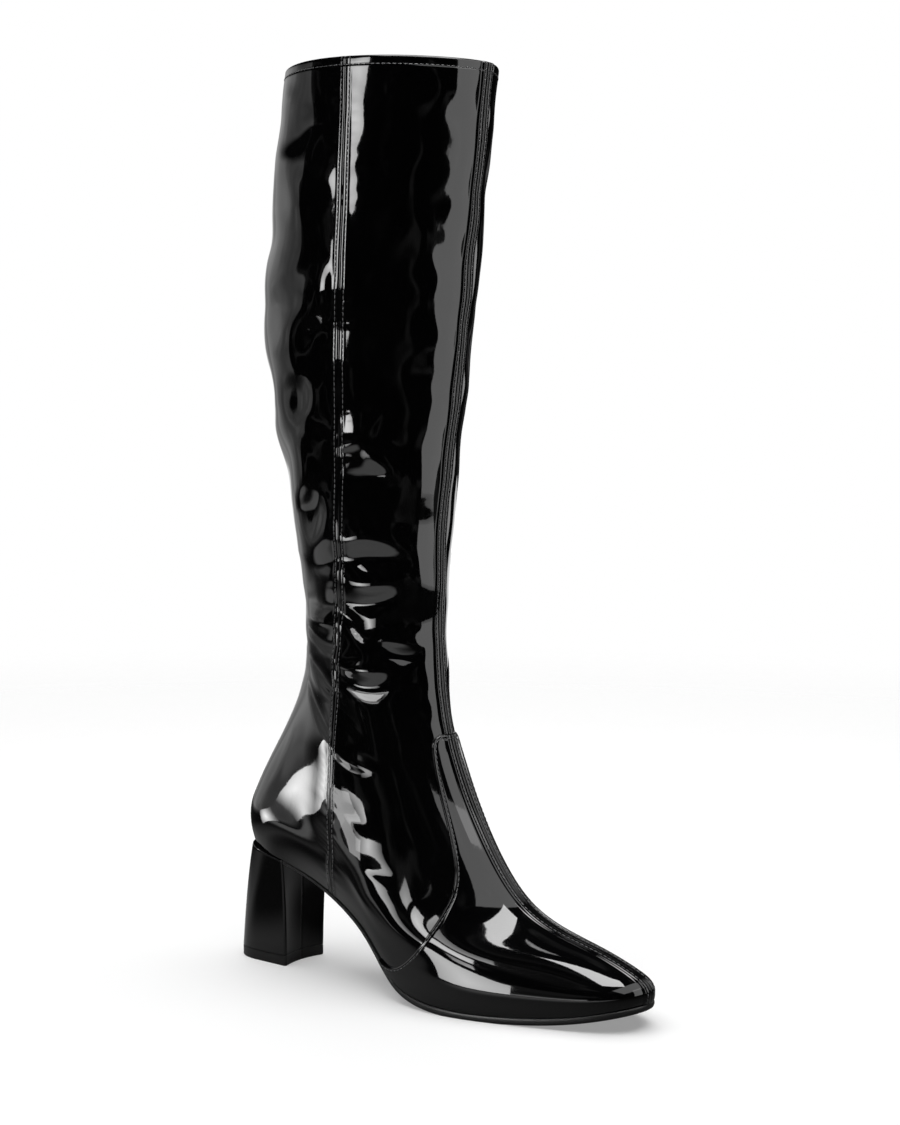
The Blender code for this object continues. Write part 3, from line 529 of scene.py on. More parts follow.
FRONT_STRIP, FRONT_RISE, FRONT_JOINT, FRONT_STITCH, FRONT_SINK = 4.0, 0.8, 0.25, 2.4, 0.22
SIDE_STRIP, SIDE_RISE, SIDE_JOINT, SIDE_STITCH, SIDE_SINK = 3.0, 0.2, 0.3, 2.1, 0.12
SHOULDER = 1.0
GROOVE = 0.38
PUCKER_HIGH, PUCKER_SET, PUCKER_WIDE = 0.05, 4.5, 2.5
PUCKER_TURN, PUCKER_DRIFT, DRIFT_TURN = 0.9, 3.0, 0.13


def front_strip(up, angle):
    """The raised seam up the front: a flat strip with a joint down its middle and two sunk stitch rows."""
    away = np.abs(from_line(up, angle, 0.0))
    strip = FRONT_RISE * ease((FRONT_STRIP + SHOULDER / 2 - away) / SHOULDER)
    return strip - FRONT_JOINT * hump(away, GROOVE) - FRONT_SINK * hump(away - FRONT_STITCH, GROOVE)


def side_strip(up, angle):
    """The side seam: a low strip with a joint and two stitch rows, which pull small puckers beside it."""
    away = np.abs(from_line(up, angle, side_angle(up)))
    strip = SIDE_RISE * ease((SIDE_STRIP + SHOULDER / 2 - away) / SHOULDER)
    sway = np.sin(up * PUCKER_TURN + PUCKER_DRIFT * np.sin(up * DRIFT_TURN))
    pucker = PUCKER_HIGH * sway * hump(away - PUCKER_SET, PUCKER_WIDE)
    return strip - SIDE_JOINT * hump(away, GROOVE) - SIDE_SINK * hump(away - SIDE_STITCH, GROOVE) + pucker


def leather_rise(up, angle):
    return fold_rise(up, angle) + front_strip(up, angle) + side_strip(up, angle)


def rolled(depth, radius):
    """How far an edge has turned in at a depth from its very end."""
    left = np.clip(1 - depth / radius, 0, 1)
    return radius * (1 - np.sqrt(1 - left**2))


def spread(*parts):
    """Rows of angles from runs and gaps: a number between two runs is how many even columns fill the gap."""
    made = []
    for i, part in enumerate(parts):
        if isinstance(part, int):
            made.append(np.linspace(parts[i - 1][:, -1], parts[i + 1][:, 0], part + 2, axis=1)[:, 1:-1])
        else:
            made.append(part)
    return np.concatenate(made, axis=1)


def mirrored_steps(steps):
    return np.concatenate([-np.array(steps[:0:-1]), steps])


def shell_mesh(name, outer, inner, welded=0):
    """A closed wall from an outer grid of points in mm and an inner one of half its rows and columns. The
    first welded rows are closed rings. Faces of the inner side take the second material."""
    high, wide = outer.shape[:2]
    low_high, low_wide = inner.shape[:2]
    skin = np.arange(high * wide).reshape(high, wide)
    lining = high * wide + np.arange(low_high * low_wide).reshape(low_high, low_wide)
    skin[:welded, -1] = skin[:welded, 0]
    lining[: (welded + 1) // 2, -1] = lining[: (welded + 1) // 2, 0]

    def cells(grid):
        return np.stack([grid[:-1, :-1], grid[:-1, 1:], grid[1:, 1:], grid[1:, :-1]], -1).reshape(-1, 4)

    def border(fine, coarse):
        return np.stack([fine[:-2:2], fine[1:-1:2], fine[2::2], coarse[1:], coarse[:-1]], -1)

    faces = cells(skin).tolist()
    faces += border(skin[-1], lining[-1]).tolist()
    faces += border(skin[0, ::-1], lining[0, ::-1]).tolist()
    first, first_low = max(welded - 1, 0), max(welded - 1, 0) // 2
    faces += border(skin[first:, 0], lining[first_low:, 0]).tolist()
    faces += border(skin[first:, -1][::-1], lining[first_low:, -1][::-1]).tolist()
    outside = len(faces)
    faces += cells(lining)[:, ::-1].tolist()
    points = np.concatenate([outer.reshape(-1, 3), inner.reshape(-1, 3)])
    used = np.unique(np.concatenate([np.ravel(face) for face in faces]))
    place = np.zeros(len(points), int)
    place[used] = np.arange(len(used))
    mesh = bpy.data.meshes.new(name)
    mesh.from_pydata((points[used] * MM).tolist(), [], [place[face].tolist() for face in faces])
    side = np.zeros(len(faces), np.int32)
    side[outside:] = 1
    mesh.polygons.foreach_set("material_index", side)
    return mesh


SHARP = math.radians(50)


def new_piece(name, mesh, *materials):
    """A finished piece at the origin, with its place in its mesh, shaded smooth up to crisp edges."""
    for material in materials:
        mesh.materials.append(material)
    mesh.shade_smooth()
    mesh.set_sharp_from_angle(angle=SHARP)
    piece = bpy.data.objects.new(name, mesh)
    bpy.context.scene.collection.objects.link(piece)
    return piece


def grain(tree, at, scale, detail):
    return Wire.node(tree, "ShaderNodeTexNoise", links={"Vector": at, "Scale": scale, "Detail": detail})


def bumped(tree, height, depth):
    return Wire.node(tree, "ShaderNodeBump", links={"Height": height, "Distance": depth, "Strength": 1.0})


def fine_grain(scale, detail, depth):
    """A relief for new_finish, of one fine grain."""
    return lambda tree, at, shade: bumped(tree, grain(tree, at, scale, detail), depth)


def new_finish(name, dark, light, mottle, rough, relief=None, **constants):
    """A material on Object coordinates. Its mottle, a scale and a detail, runs from the dark colour to the
    light one and adds its share of the second roughness to the first. relief gives the Normal."""
    material = bpy.data.materials.new(name)
    material.use_nodes = True
    tree = material.node_tree
    tree.nodes.clear()
    at = Wire.node(tree, "ShaderNodeTexCoord", out="Object")
    shade = grain(tree, at, *mottle)
    colours = {0: shade, 6: (*dark, 1.0), 7: (*light, 1.0)}
    links = {key.replace("_", " "): value for key, value in constants.items()}
    links["Base Color"] = Wire.node(tree, "ShaderNodeMix", {"data_type": "RGBA"}, colours, out=2)
    links["Roughness"] = rough[0] + shade * rough[1]
    if relief:
        links["Normal"] = relief(tree, at, shade)
    shader = Wire.node(tree, "ShaderNodeBsdfPrincipled", links=links)
    Wire.node(tree, "ShaderNodeOutputMaterial", links={"Surface": shader})
    return material


patent = new_finish(
    "patent_leather",
    dark=(0.0008, 0.0008, 0.0010),
    light=(0.0028, 0.0028, 0.0031),
    mottle=(28.0, 3.0),
    rough=(0.03, 0.04),
    relief=fine_grain(420.0, 1.0, 0.000010),
    Specular_IOR_Level=0.3,
    Coat_Weight=0.4,
    Coat_Roughness=0.02,
)
lining_cloth = new_finish(
    "lining_cloth",
    dark=(0.018, 0.017, 0.016),
    light=(0.034, 0.032, 0.030),
    mottle=(60.0, 3.0),
    rough=(0.75, 0.15),
    relief=fine_grain(900.0, 1.0, 0.00008),
)

WALL = 1.8
LINING_LIP = 0.6
ROW_STEP = 1.75
EDGE_STEPS = np.array([0.0, 0.25, 0.55, 0.95, 1.6, 2.2, 2.6, 3.0, 3.8, 5.5])
SIDE_STEPS = mirrored_steps([0.0, 0.3, 0.6, 1.0, 1.5, 1.8, 2.1, 2.4, 2.8, 3.3, 3.9, 5.0, 7.0])
FRONT_STEPS = mirrored_steps([0.0, 0.3, 0.6, 1.0, 1.6, 2.1, 2.4, 2.7, 3.1, 3.6, 4.0, 4.4, 5.0, 6.2, 8.5])
BACK_COLUMNS = 58
OUTER_COLUMNS = 40
INNER_COLUMNS = 43
COLLAR_EDGE = 0.9
COLLAR_STITCH = 4.3
ZIP_STITCH = 2.6
EDGE_SINK, EDGE_GROOVE = 0.15, 0.45
foot_rows = ZIP_FOOT + np.array([0.0, 0.3, 0.8, 1.5, 2.4, 3.6])
below_rows = np.linspace(0.0, ZIP_FOOT, 5)[:-1]
shaft_rows = np.arange(ZIP_FOOT + 5.0, TOP - 7.0, ROW_STEP)
collar_rows = TOP - np.array(
    [6.2, 5.4, 4.9, 4.6, 4.3, 4.0, 3.7, 3.2, 2.5, 1.7, 0.9, 0.6, 0.35, 0.15, 0.05, 0.0]
)
ups = np.concatenate([below_rows, foot_rows, shaft_rows, collar_rows])
if len(ups) % 2 == 0:
    ups = np.insert(ups, len(ups) - len(collar_rows), (shaft_rows[-1] + collar_rows[0]) / 2)
zip_turn = turn_per_mm(ups, zip_angle(ups))
slit = zip_half(ups) * zip_turn
back_edge = (zip_angle(ups) + slit - 2 * np.pi)[:, None] + EDGE_STEPS * zip_turn[:, None]
front_edge = (zip_angle(ups) - slit)[:, None] - EDGE_STEPS[::-1] * zip_turn[:, None]
side_run = side_angle(ups)[:, None] + SIDE_STEPS * turn_per_mm(ups, side_angle(ups))[:, None]
front_run = FRONT_STEPS * turn_per_mm(ups, 0.0)[:, None]
turns = spread(back_edge, BACK_COLUMNS, side_run, OUTER_COLUMNS, front_run, INNER_COLUMNS, front_edge)
climbs = np.broadcast_to(ups[:, None], turns.shape)
from_slit = np.abs(from_line(climbs, turns, zip_angle(climbs))) - zip_half(climbs)
from_slit = np.where(climbs < ZIP_FOOT, np.hypot(from_slit, ZIP_FOOT - climbs), from_slit)
edge_roll = rolled(TOP - climbs, COLLAR_EDGE) + rolled(from_slit, COLLAR_EDGE)
collar_sink = EDGE_SINK * hump(TOP - climbs - COLLAR_STITCH, EDGE_GROOVE)
zip_sink = EDGE_SINK * hump(from_slit - ZIP_STITCH, EDGE_GROOVE)
skin = on_last(climbs, turns, leather_rise(climbs, turns) - edge_roll - (collar_sink + zip_sink))
skin[0, :, 2] = feather_z(skin[0, :, 0])
skin[-1, :, 2] = SECTIONS[-1].front_z
coarse_climbs, coarse_turns = climbs[::2, ::2], turns[::2, ::2]
inside = on_last(coarse_climbs, coarse_turns, fold_rise(coarse_climbs, coarse_turns) - WALL)
inside[-1] = on_last(coarse_climbs[-1], coarse_turns[-1], -WALL * LINING_LIP)
inside[-1, :, 2] = SECTIONS[-1].front_z
upper_wall = shell_mesh("upper_leather", skin, inside, welded=len(below_rows) + 1)
upper = new_piece("upper_leather", upper_wall, patent, lining_cloth)
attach(upper, "boot")
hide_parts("upper")


# The vamp. A second layer of the same leather laid over the toe and instep, its edge turned under and sewn
# down with one row, rounded off at the top of the instep. The front seam runs on through it to the toe.
vamp_degrees = spline_of({
    0.0: 96.3, 11.5: 87.5, 37.5: 71.5, 62.0: 55.5, 80.0: 42.5, 93.0: 36.5, 113.0: 31.5,
    130.0: 29.0, 139.0: 26.5, 143.5: 21.0, 145.5: 14.0,
})
VAMP_TOP = 145.5
VAMP_HIGH = 1.35
VAMP_GAP = 0.05
VAMP_EDGE = 0.9
VAMP_BEAD, BEAD_SET, BEAD_WIDE = 0.12, 0.9, 0.5
VAMP_STITCH, VAMP_SINK, VAMP_GROOVE = 2.0, 0.16, 0.42
VAMP_ROWS, VAMP_TOP_BAND = 96, 5.0
VAMP_ROOM = 1.2
VAMP_EDGE_STEPS = np.array([0.0, 0.15, 0.35, 0.6, 0.9, 1.3, 1.7, 2.0, 2.3, 2.8, 3.6])
VAMP_COLUMNS = 30
VAMP_TOP_ROWS = VAMP_TOP - np.array([3.6, 2.8, 2.3, 2.0, 1.7, 1.3, 0.9, 0.6, 0.35, 0.15, 0.0])


def vamp_angle(up):
    return np.radians(vamp_degrees(up))


ups = np.concatenate([np.linspace(0.0, VAMP_TOP - VAMP_TOP_BAND, VAMP_ROWS), VAMP_TOP_ROWS])
edge_turn = turn_per_mm(ups, vamp_angle(ups))
front_turn = turn_per_mm(ups, 0.0)
room = vamp_angle(ups) / (FRONT_STEPS[-1] * front_turn + VAMP_ROOM * VAMP_EDGE_STEPS[-1] * edge_turn)
squeeze = np.minimum(room, 1.0)[:, None]
edge_run = vamp_angle(ups)[:, None] - squeeze * VAMP_EDGE_STEPS[::-1] * edge_turn[:, None]
front_run = squeeze * FRONT_STEPS * front_turn[:, None]
turns = spread(-edge_run[:, ::-1], VAMP_COLUMNS, front_run, VAMP_COLUMNS, edge_run)
climbs = np.broadcast_to(ups[:, None], turns.shape)


def vamp_rise(up, angle):
    """The vamp's outer face over the last: a rolled edge, a bead along it and a sunk stitch row."""
    in_from_side = (vamp_angle(up) - np.abs(angle)) / turn_per_mm(up, vamp_angle(up))
    depth = np.maximum(np.minimum(in_from_side, VAMP_TOP - up), 0.0)
    bead = VAMP_BEAD * hump(depth - BEAD_SET, BEAD_WIDE)
    edge = bead - VAMP_SINK * hump(depth - VAMP_STITCH, VAMP_GROOVE) - rolled(depth, VAMP_EDGE)
    return fold_rise(up, angle) + front_strip(up, angle) + VAMP_HIGH + edge


skin = on_last(climbs, turns, vamp_rise(climbs, turns))
skin[0, :, 2] = feather_z(skin[0, :, 0])
coarse_climbs, coarse_turns = climbs[::2, ::2], turns[::2, ::2]
under = fold_rise(coarse_climbs, coarse_turns) + front_strip(coarse_climbs, coarse_turns)
inside = on_last(coarse_climbs, coarse_turns, under + VAMP_GAP)
inside[0, :, 2] = feather_z(inside[0, :, 0])
vamp = new_piece("vamp_overlay", shell_mesh("vamp_overlay", skin, inside), patent, lining_cloth)
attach(vamp, "boot")
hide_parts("vamp")


# The topstitching. Rows of bonded black thread, about nine stitches to the inch, that hold the front and side
# seams flat, the vamp on the upper, the collar's turned edge and the leather down on the zip's tape.
STITCH_PITCH = 2.7
STITCH_LONG = 2.25
STITCH_THICK = 0.55
STITCH_SINK = 0.06
SEAM_BED, VAMP_BED = 0.25, 0.05
COLLAR_STOP, COLLAR_POINTS = 3.5, 320
VAMP_TOP_POINTS = 20
# The thread is black; its grey colour is painted sheen that stands for the glints on the stitches.
thread = new_finish(
    "bonded_thread",
    dark=(0.07, 0.07, 0.072),
    light=(0.17, 0.17, 0.174),
    mottle=(90.0, 2.0),
    rough=(0.3, 0.2),
    relief=fine_grain(2600.0, 1.0, 0.00006),
)


def beads_tree():
    """A geometry tree that sets rounded beads along a path, each long one way and thinner the other two, with
    their pitch, sizes and finish going in."""
    tree = bpy.data.node_groups.new("beads", "GeometryNodeTree")
    tree.interface.new_socket("Path", in_out="INPUT", socket_type="NodeSocketGeometry")
    for size in ("Pitch", "Long", "Wide", "High"):
        tree.interface.new_socket(size, in_out="INPUT", socket_type="NodeSocketFloat")
    tree.interface.new_socket("Finish", in_out="INPUT", socket_type="NodeSocketMaterial")
    tree.interface.new_socket("Made", in_out="OUTPUT", socket_type="NodeSocketGeometry")
    group = tree.nodes.new("NodeGroupInput")
    given = {socket.name: Wire(tree, socket) for socket in group.outputs if socket.name}

    def add(kind, settings=None, **links):
        return Wire.node(tree, kind, settings, links)

    curve = add("GeometryNodeMeshToCurve", Mesh=given["Path"])
    points = add("GeometryNodeResampleCurve", {"mode": "LENGTH"}, Curve=curve, Length=given["Pitch"])
    ball = add("GeometryNodeMeshUVSphere", Segments=8, Rings=5, Radius=0.5)
    sizes = add("ShaderNodeCombineXYZ", X=given["Wide"], Y=given["High"], Z=given["Long"])
    bead = add("GeometryNodeTransform", Geometry=ball, Scale=sizes)
    tangent = add("GeometryNodeInputTangent")
    turned = add("FunctionNodeAlignRotationToVector", {"axis": "Z"}, Vector=tangent)
    placed = add("GeometryNodeInstanceOnPoints", Points=points, Instance=bead, Rotation=turned)
    real = add("GeometryNodeRealizeInstances", Geometry=placed)
    smooth = add("GeometryNodeSetShadeSmooth", Geometry=real)
    coloured = add("GeometryNodeSetMaterial", Geometry=smooth, Material=given["Finish"])
    add("NodeGroupOutput", Made=coloured)
    return tree


beads = beads_tree()


def paths_mesh(name, paths):
    """A mesh of bare edges along paths of points in mm."""
    points, edges = [], []
    for path in paths:
        start = len(points)
        points += (path * MM).tolist()
        edges += [(i, i + 1) for i in range(start, len(points) - 1)]
    mesh = bpy.data.meshes.new(name)
    mesh.from_pydata(points, edges, [])
    return mesh


def grown_piece(name, tree, base, finish, sizes):
    """What a geometry tree makes of a mesh, kept as a plain mesh. Sizes are in mm."""
    piece = bpy.data.objects.new(name, base)
    bpy.context.scene.collection.objects.link(piece)
    modifier = piece.modifiers.new("grown", "NODES")
    modifier.node_group = tree
    for socket in tree.interface.items_tree:
        if socket.in_out == "INPUT" and socket.name in sizes:
            modifier[socket.identifier] = sizes[socket.name] * MM
        if socket.in_out == "INPUT" and socket.name == "Finish":
            modifier[socket.identifier] = finish
    depsgraph = bpy.context.evaluated_depsgraph_get()
    made = bpy.data.meshes.new_from_object(piece.evaluated_get(depsgraph), depsgraph=depsgraph)
    piece.modifiers.clear()
    piece.data = made
    return piece


def leather_path(up, angle):
    """A row of stitches on the upper, half sunk in the leather."""
    return on_last(up, angle, leather_rise(up, angle) + STITCH_THICK / 2 - STITCH_SINK - SEAM_BED)


def vamp_path(up, angle):
    return on_last(up, angle, vamp_rise(up, angle) + STITCH_THICK / 2 - STITCH_SINK - VAMP_BED)


rows_of_stitches = []
on_shaft = np.arange(VAMP_TOP + 1.0, TOP - 1.0, 1.0)
on_vamp = np.arange(3.0, VAMP_TOP - 1.0, 1.0)
on_side = np.arange(3.0, TOP - 1.0, 1.0)
beside_zip = np.arange(ZIP_FOOT + ZIP_HALF, TOP - 1.0, 1.0)
for side in (-1, 1):
    offset = side * FRONT_STITCH
    rows_of_stitches.append(leather_path(on_shaft, offset * turn_per_mm(on_shaft, 0.0)))
    rows_of_stitches.append(vamp_path(on_vamp, offset * turn_per_mm(on_vamp, 0.0)))
    seam = side_angle(on_side)
    rows_of_stitches.append(leather_path(on_side, seam + side * SIDE_STITCH * turn_per_mm(on_side, seam)))
    middle = zip_angle(beside_zip)
    offset = side * (ZIP_HALF + ZIP_STITCH)
    rows_of_stitches.append(leather_path(beside_zip, middle + offset * turn_per_mm(beside_zip, middle)))
edge_climbs = np.arange(1.5, VAMP_TOP - VAMP_STITCH, 0.5)
edge_turns = vamp_angle(edge_climbs) - VAMP_STITCH * turn_per_mm(edge_climbs, vamp_angle(edge_climbs))
top_turns = np.linspace(edge_turns[-1], -edge_turns[-1], VAMP_TOP_POINTS)[1:-1]
top_climbs = np.full(len(top_turns), VAMP_TOP - VAMP_STITCH)
vamp_climbs = np.concatenate([edge_climbs, top_climbs, edge_climbs[::-1]])
vamp_turns = np.concatenate([edge_turns, top_turns, -edge_turns[::-1]])
rows_of_stitches.append(vamp_path(vamp_climbs, vamp_turns))
collar_up = TOP - COLLAR_STITCH
collar_half = (ZIP_HALF + COLLAR_STOP) * float(turn_per_mm(collar_up, zip_angle(collar_up)))
collar_from = float(zip_angle(collar_up)) + collar_half - 2 * np.pi
collar_turns = np.linspace(collar_from, float(zip_angle(collar_up)) - collar_half, COLLAR_POINTS)
rows_of_stitches.append(leather_path(collar_up, collar_turns))
stitches = grown_piece(
    "seam_stitches",
    beads,
    paths_mesh("seam_stitches", rows_of_stitches),
    thread,
    {"Pitch": STITCH_PITCH, "Long": STITCH_LONG, "Wide": STITCH_THICK, "High": STITCH_THICK},
)
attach(stitches, "boot")


# The zip's tape. Two bands of black woven polyester, sewn behind the edges of the slit, that meet under the
# coil.
TAPE_HALF = 4.85
TAPE_FACE = -0.4
TAPE_BACK = -1.6
TAPE_ROWS, TAPE_COLUMNS = 269, 19
TAPE_GAP = 0.6
TAPE_TIP = 0.6
TAPE_CROWN, CROWN_WIDE = 0.25, 2.0
TAPE_JOINT, JOINT_WIDE = 0.3, 0.25


def zip_spot(up, across, height):
    """A point on the zip: this far across its line and this high off the leather."""
    middle = zip_angle(up)
    return on_last(up, middle + across * turn_per_mm(up, middle), height)


def ribbed(tree, at, yarn):
    """The weave of the tape: ribs across it and the yarn in them."""
    rib = Wire.node(
        tree,
        "ShaderNodeTexWave",
        {"wave_type": "BANDS", "bands_direction": "Z"},
        {"Vector": at, "Scale": 320.0, "Distortion": 0.4, "Detail": 1.0},
        out="Fac",
    )
    return bumped(tree, rib * 0.6 + yarn * 0.4, 0.00015)


tape_cloth = new_finish(
    "woven_tape",
    dark=(0.002, 0.002, 0.002),
    light=(0.008, 0.008, 0.009),
    mottle=(1400.0, 2.0),
    rough=(0.6, 0.25),
    relief=ribbed,
)
ups = np.linspace(ZIP_FOOT + TAPE_GAP, TOP - TAPE_GAP, TAPE_ROWS)
across = np.linspace(-TAPE_HALF, TAPE_HALF, TAPE_COLUMNS)
climbs, offsets = np.meshgrid(ups, across, indexing="ij")
narrowed = np.clip(zip_half(climbs) - (ZIP_HALF - TAPE_HALF), TAPE_TIP, TAPE_HALF) / TAPE_HALF
rise = TAPE_FACE + TAPE_CROWN * hump(offsets, CROWN_WIDE) - TAPE_JOINT * hump(offsets, JOINT_WIDE)
face = zip_spot(climbs, offsets * narrowed, rise)
back = zip_spot(climbs[::2, ::2], (offsets * narrowed)[::2, ::2], TAPE_BACK)
tape = new_piece("zip_band", shell_mesh("zip_band", face, back), tape_cloth, tape_cloth)
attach(tape, "boot")
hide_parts("zip_tape")


# The zip's coil. Nylon monofilament wound into teeth and sewn along the inner edge of each tape with a fine
# row, closed all the way up, so that the teeth of one side lie between those of the other.
COIL_PITCH = 1.9
TOOTH_LONG = 3.2
TOOTH_THICK = 0.95
TOOTH_SET = 0.75
COIL_HIGH = 0.3
COIL_FOOT, COIL_END = 3.0, 1.5
SEWING_SET = 2.75
SEWING_LONG = 1.05
SEWING_THICK = 0.42
coil_nylon = new_finish(
    "coil_nylon",
    dark=(0.020, 0.020, 0.021),
    light=(0.050, 0.050, 0.052),
    mottle=(240.0, 2.0),
    rough=(0.14, 0.12),
)
coil_paths = []
sewing_paths = []
for side in (-1, 1):
    ups = np.arange(ZIP_FOOT + COIL_FOOT + side * COIL_PITCH / 4, TOP - COIL_END, 0.5)
    coil_paths.append(zip_spot(ups, side * TOOTH_SET, COIL_HIGH))
    sewing_paths.append(zip_spot(ups, side * SEWING_SET, TAPE_FACE + SEWING_THICK / 2))
coil = grown_piece(
    "zip_coil",
    beads,
    paths_mesh("zip_coil", coil_paths),
    coil_nylon,
    {"Pitch": COIL_PITCH, "Long": TOOTH_THICK, "Wide": TOOTH_LONG, "High": TOOTH_THICK},
)
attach(coil, "boot")
sewing = grown_piece(
    "zip_coil_sewing",
    beads,
    paths_mesh("zip_coil_sewing", sewing_paths),
    thread,
    {"Pitch": COIL_PITCH, "Long": SEWING_LONG, "Wide": SEWING_THICK, "High": SEWING_THICK},
)
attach(sewing, "boot")


# The zip's slider. A die-cast plate over the coil with a bridge on it, dark plated, stopped at the top of the
# closed zip.
METAL_EDGE = 0.32
METAL_WELD = 0.01
METAL_FLAT = math.radians(2)
METAL_CRISP = math.radians(30)
gunmetal = new_finish(
    "gunmetal",
    dark=(0.30, 0.30, 0.305),
    light=(0.42, 0.42, 0.425),
    mottle=(160.0, 3.0),
    rough=(0.22, 0.18),
    relief=fine_grain(1500.0, 1.0, 0.00002),
    Metallic=1.0,
)


def eased_copy(name, node, finish):
    """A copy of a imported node, welded from its loose triangles and with its edges rounded over."""
    mesh = bpy.data.meshes.new(name)
    work = bmesh.new()
    work.from_mesh(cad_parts[node].data)
    bmesh.ops.remove_doubles(work, verts=work.verts, dist=METAL_WELD * MM)
    bmesh.ops.dissolve_limit(work, angle_limit=METAL_FLAT, verts=work.verts, edges=work.edges)
    crisp = [edge for edge in work.edges if edge.calc_face_angle(0.0) > METAL_CRISP]
    bmesh.ops.bevel(work, geom=crisp, offset=METAL_EDGE * MM, segments=3, profile=0.5, affect="EDGES")
    bmesh.ops.recalc_face_normals(work, faces=work.faces)
    work.to_mesh(mesh)
    work.free()
    return new_piece(name, mesh, finish)


slider = eased_copy("zip_slider_body", "zip_slider", gunmetal)
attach(slider, "boot")
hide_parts("zip_slider")


# The zip's pull. A slotted tab of the same plated metal, cast in one with its bar, which hangs under the
# slider's bridge and turns there.
pull = eased_copy("zip_pull_tab", "zip_pull", gunmetal)
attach(pull, "zip_pull")
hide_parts("zip_pull")


# The insole. A shaped board with a dark sock glued over it, tucked inside the lasted edge of the upper, which
# is glued to it.
INSOLE_INSET = 2.4
INSOLE_THICK = 2.0
INSOLE_ROUND = 0.5
INSOLE_RUNGS, INSOLE_COLUMNS = 120, 16
INSOLE_EDGE = [(-INSOLE_ROUND, 0.0), (-0.15, 0.08), (0.0, 0.25), (0.0, 1.0)]
WELD = 0.005


def plan_edge(angles, grow):
    """The feather line in plan, moved out by grow."""
    line = last_point(0.0, angles)
    along = last_point(0.0, angles + SMALL_TURN) - last_point(0.0, angles - SMALL_TURN)
    out = np.stack([along[:, 1], -along[:, 0]], -1)
    out /= np.linalg.norm(out, axis=1, keepdims=True)
    return line[:, :2] + out * np.broadcast_to(np.asarray(grow, float), angles.shape)[:, None]


def ring_faces(index):
    """Faces between rings of points, one behind the other."""
    beside = np.roll(index, -1, axis=1)
    return np.stack([index[:-1], beside[:-1], beside[1:], index[1:]], -1).reshape(-1, 4).tolist()


def solid_mesh(name, points, faces):
    """A closed mesh from points in mm, with points that coincide welded and its faces turned outward."""
    mesh = bpy.data.meshes.new(name)
    mesh.from_pydata((points * MM).tolist(), [], faces)
    work = bmesh.new()
    work.from_mesh(mesh)
    bmesh.ops.remove_doubles(work, verts=work.verts, dist=WELD * MM)
    bmesh.ops.dissolve_degenerate(work, edges=work.edges, dist=WELD * MM)
    bmesh.ops.recalc_face_normals(work, faces=work.faces)
    work.to_mesh(mesh)
    work.free()
    return mesh


def rungs_mesh(name, rings):
    """A closed flat piece from rings across it, capped at both ends."""
    index = np.arange(rings.shape[0] * rings.shape[1]).reshape(rings.shape[:2])
    faces = ring_faces(index) + [index[0, ::-1].tolist(), index[-1].tolist()]
    return solid_mesh(name, rings.reshape(-1, 3), faces)


def across_rungs(angles, edge, columns, top, bottom):
    """Rings across a flat piece: over the top from the outer side to the inner one, down the edge, back along
    the underside and up the edge. edge lists how far out and how low, from 0 at the top to 1, each step is,
    and top and bottom give heights at x and a share across from -1 to 1."""
    shares = np.linspace(-1, 1, columns)
    rings = []
    first, last = edge[0], edge[-1]

    def side(sign, grow):
        return plan_edge(sign * angles, grow)

    def level(flat, share, part):
        high, low = top(flat[:, 0], share), bottom(flat[:, 0], share)
        return np.column_stack([flat, high + (low - high) * part])

    def sheet(grow, part, order):
        outer, inner = side(-1, grow), side(1, grow)
        for share in order:
            mix = (share + 1) / 2
            rings.append(level(outer + (inner - outer) * mix, share, part))

    sheet(first[0], 0.0, shares)
    for grow, part in edge[1:-1]:
        rings.append(level(side(1, grow), 1.0, part))
    sheet(last[0], 1.0, shares[::-1])
    for grow, part in edge[-2:0:-1]:
        rings.append(level(side(-1, grow), -1.0, part))
    return np.stack(rings, axis=1)


sock = new_finish(
    "insole_sock",
    dark=(0.030, 0.027, 0.024),
    light=(0.060, 0.054, 0.048),
    mottle=(40.0, 3.0),
    rough=(0.7, 0.2),
    relief=fine_grain(700.0, 2.0, 0.00006),
)
insole_rings = across_rungs(
    np.linspace(0.0, np.pi, INSOLE_RUNGS),
    [(out - INSOLE_INSET, part) for out, part in INSOLE_EDGE],
    INSOLE_COLUMNS,
    lambda x, share: feather_z(x) + INSOLE_THICK,
    lambda x, share: feather_z(x),
)
insole = new_piece("insole_board", rungs_mesh("insole_board", insole_rings), sock)
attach(insole, "boot")
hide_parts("insole")


# The outsole. One thin moulded rubber unit glued under the lasted upper from the toe to the heel's breast,
# with a rounded edge and shallow bars across the tread.
SEAT_GAP = 0.3
SOLE_BACK = 20.0
sole_thick = spline_of({20.0: 2.0, 60.0: 2.2, 95.0: 2.8, 120.0: 3.4, 150.0: 3.5, 200.0: 3.4, 231.0: 3.2})
sole_stand_out = spline_of({20.0: 0.2, 60.0: 0.5, 95.0: 1.0, 120.0: 1.8, 150.0: 1.9, 200.0: 1.9, 231.0: 1.9})
SOLE_EDGE = [
    (-0.55, 0.0), (-0.3, 0.02), (-0.1, 0.1), (0.0, 0.25),
    (0.0, 0.55), (-0.15, 0.75), (-0.4, 0.92), (-0.75, 1.0),
]
SOLE_TIP = 231.0
SOLE_RUNGS, SOLE_COLUMNS = 360, 24
TREAD_FROM, TREAD_TO = 124.0, 206.0
TREAD_PITCH, TREAD_BOW, TREAD_DEEP = 4.2, 10.0, 0.45
TREAD_BORDER, TREAD_END = 0.78, 2.0
BAR_STEEP = 2.2
rubber = new_finish(
    "satin_rubber",
    dark=(0.004, 0.004, 0.004),
    light=(0.011, 0.011, 0.011),
    mottle=(45.0, 4.0),
    rough=(0.34, 0.2),
    relief=fine_grain(900.0, 2.0, 0.00003),
)


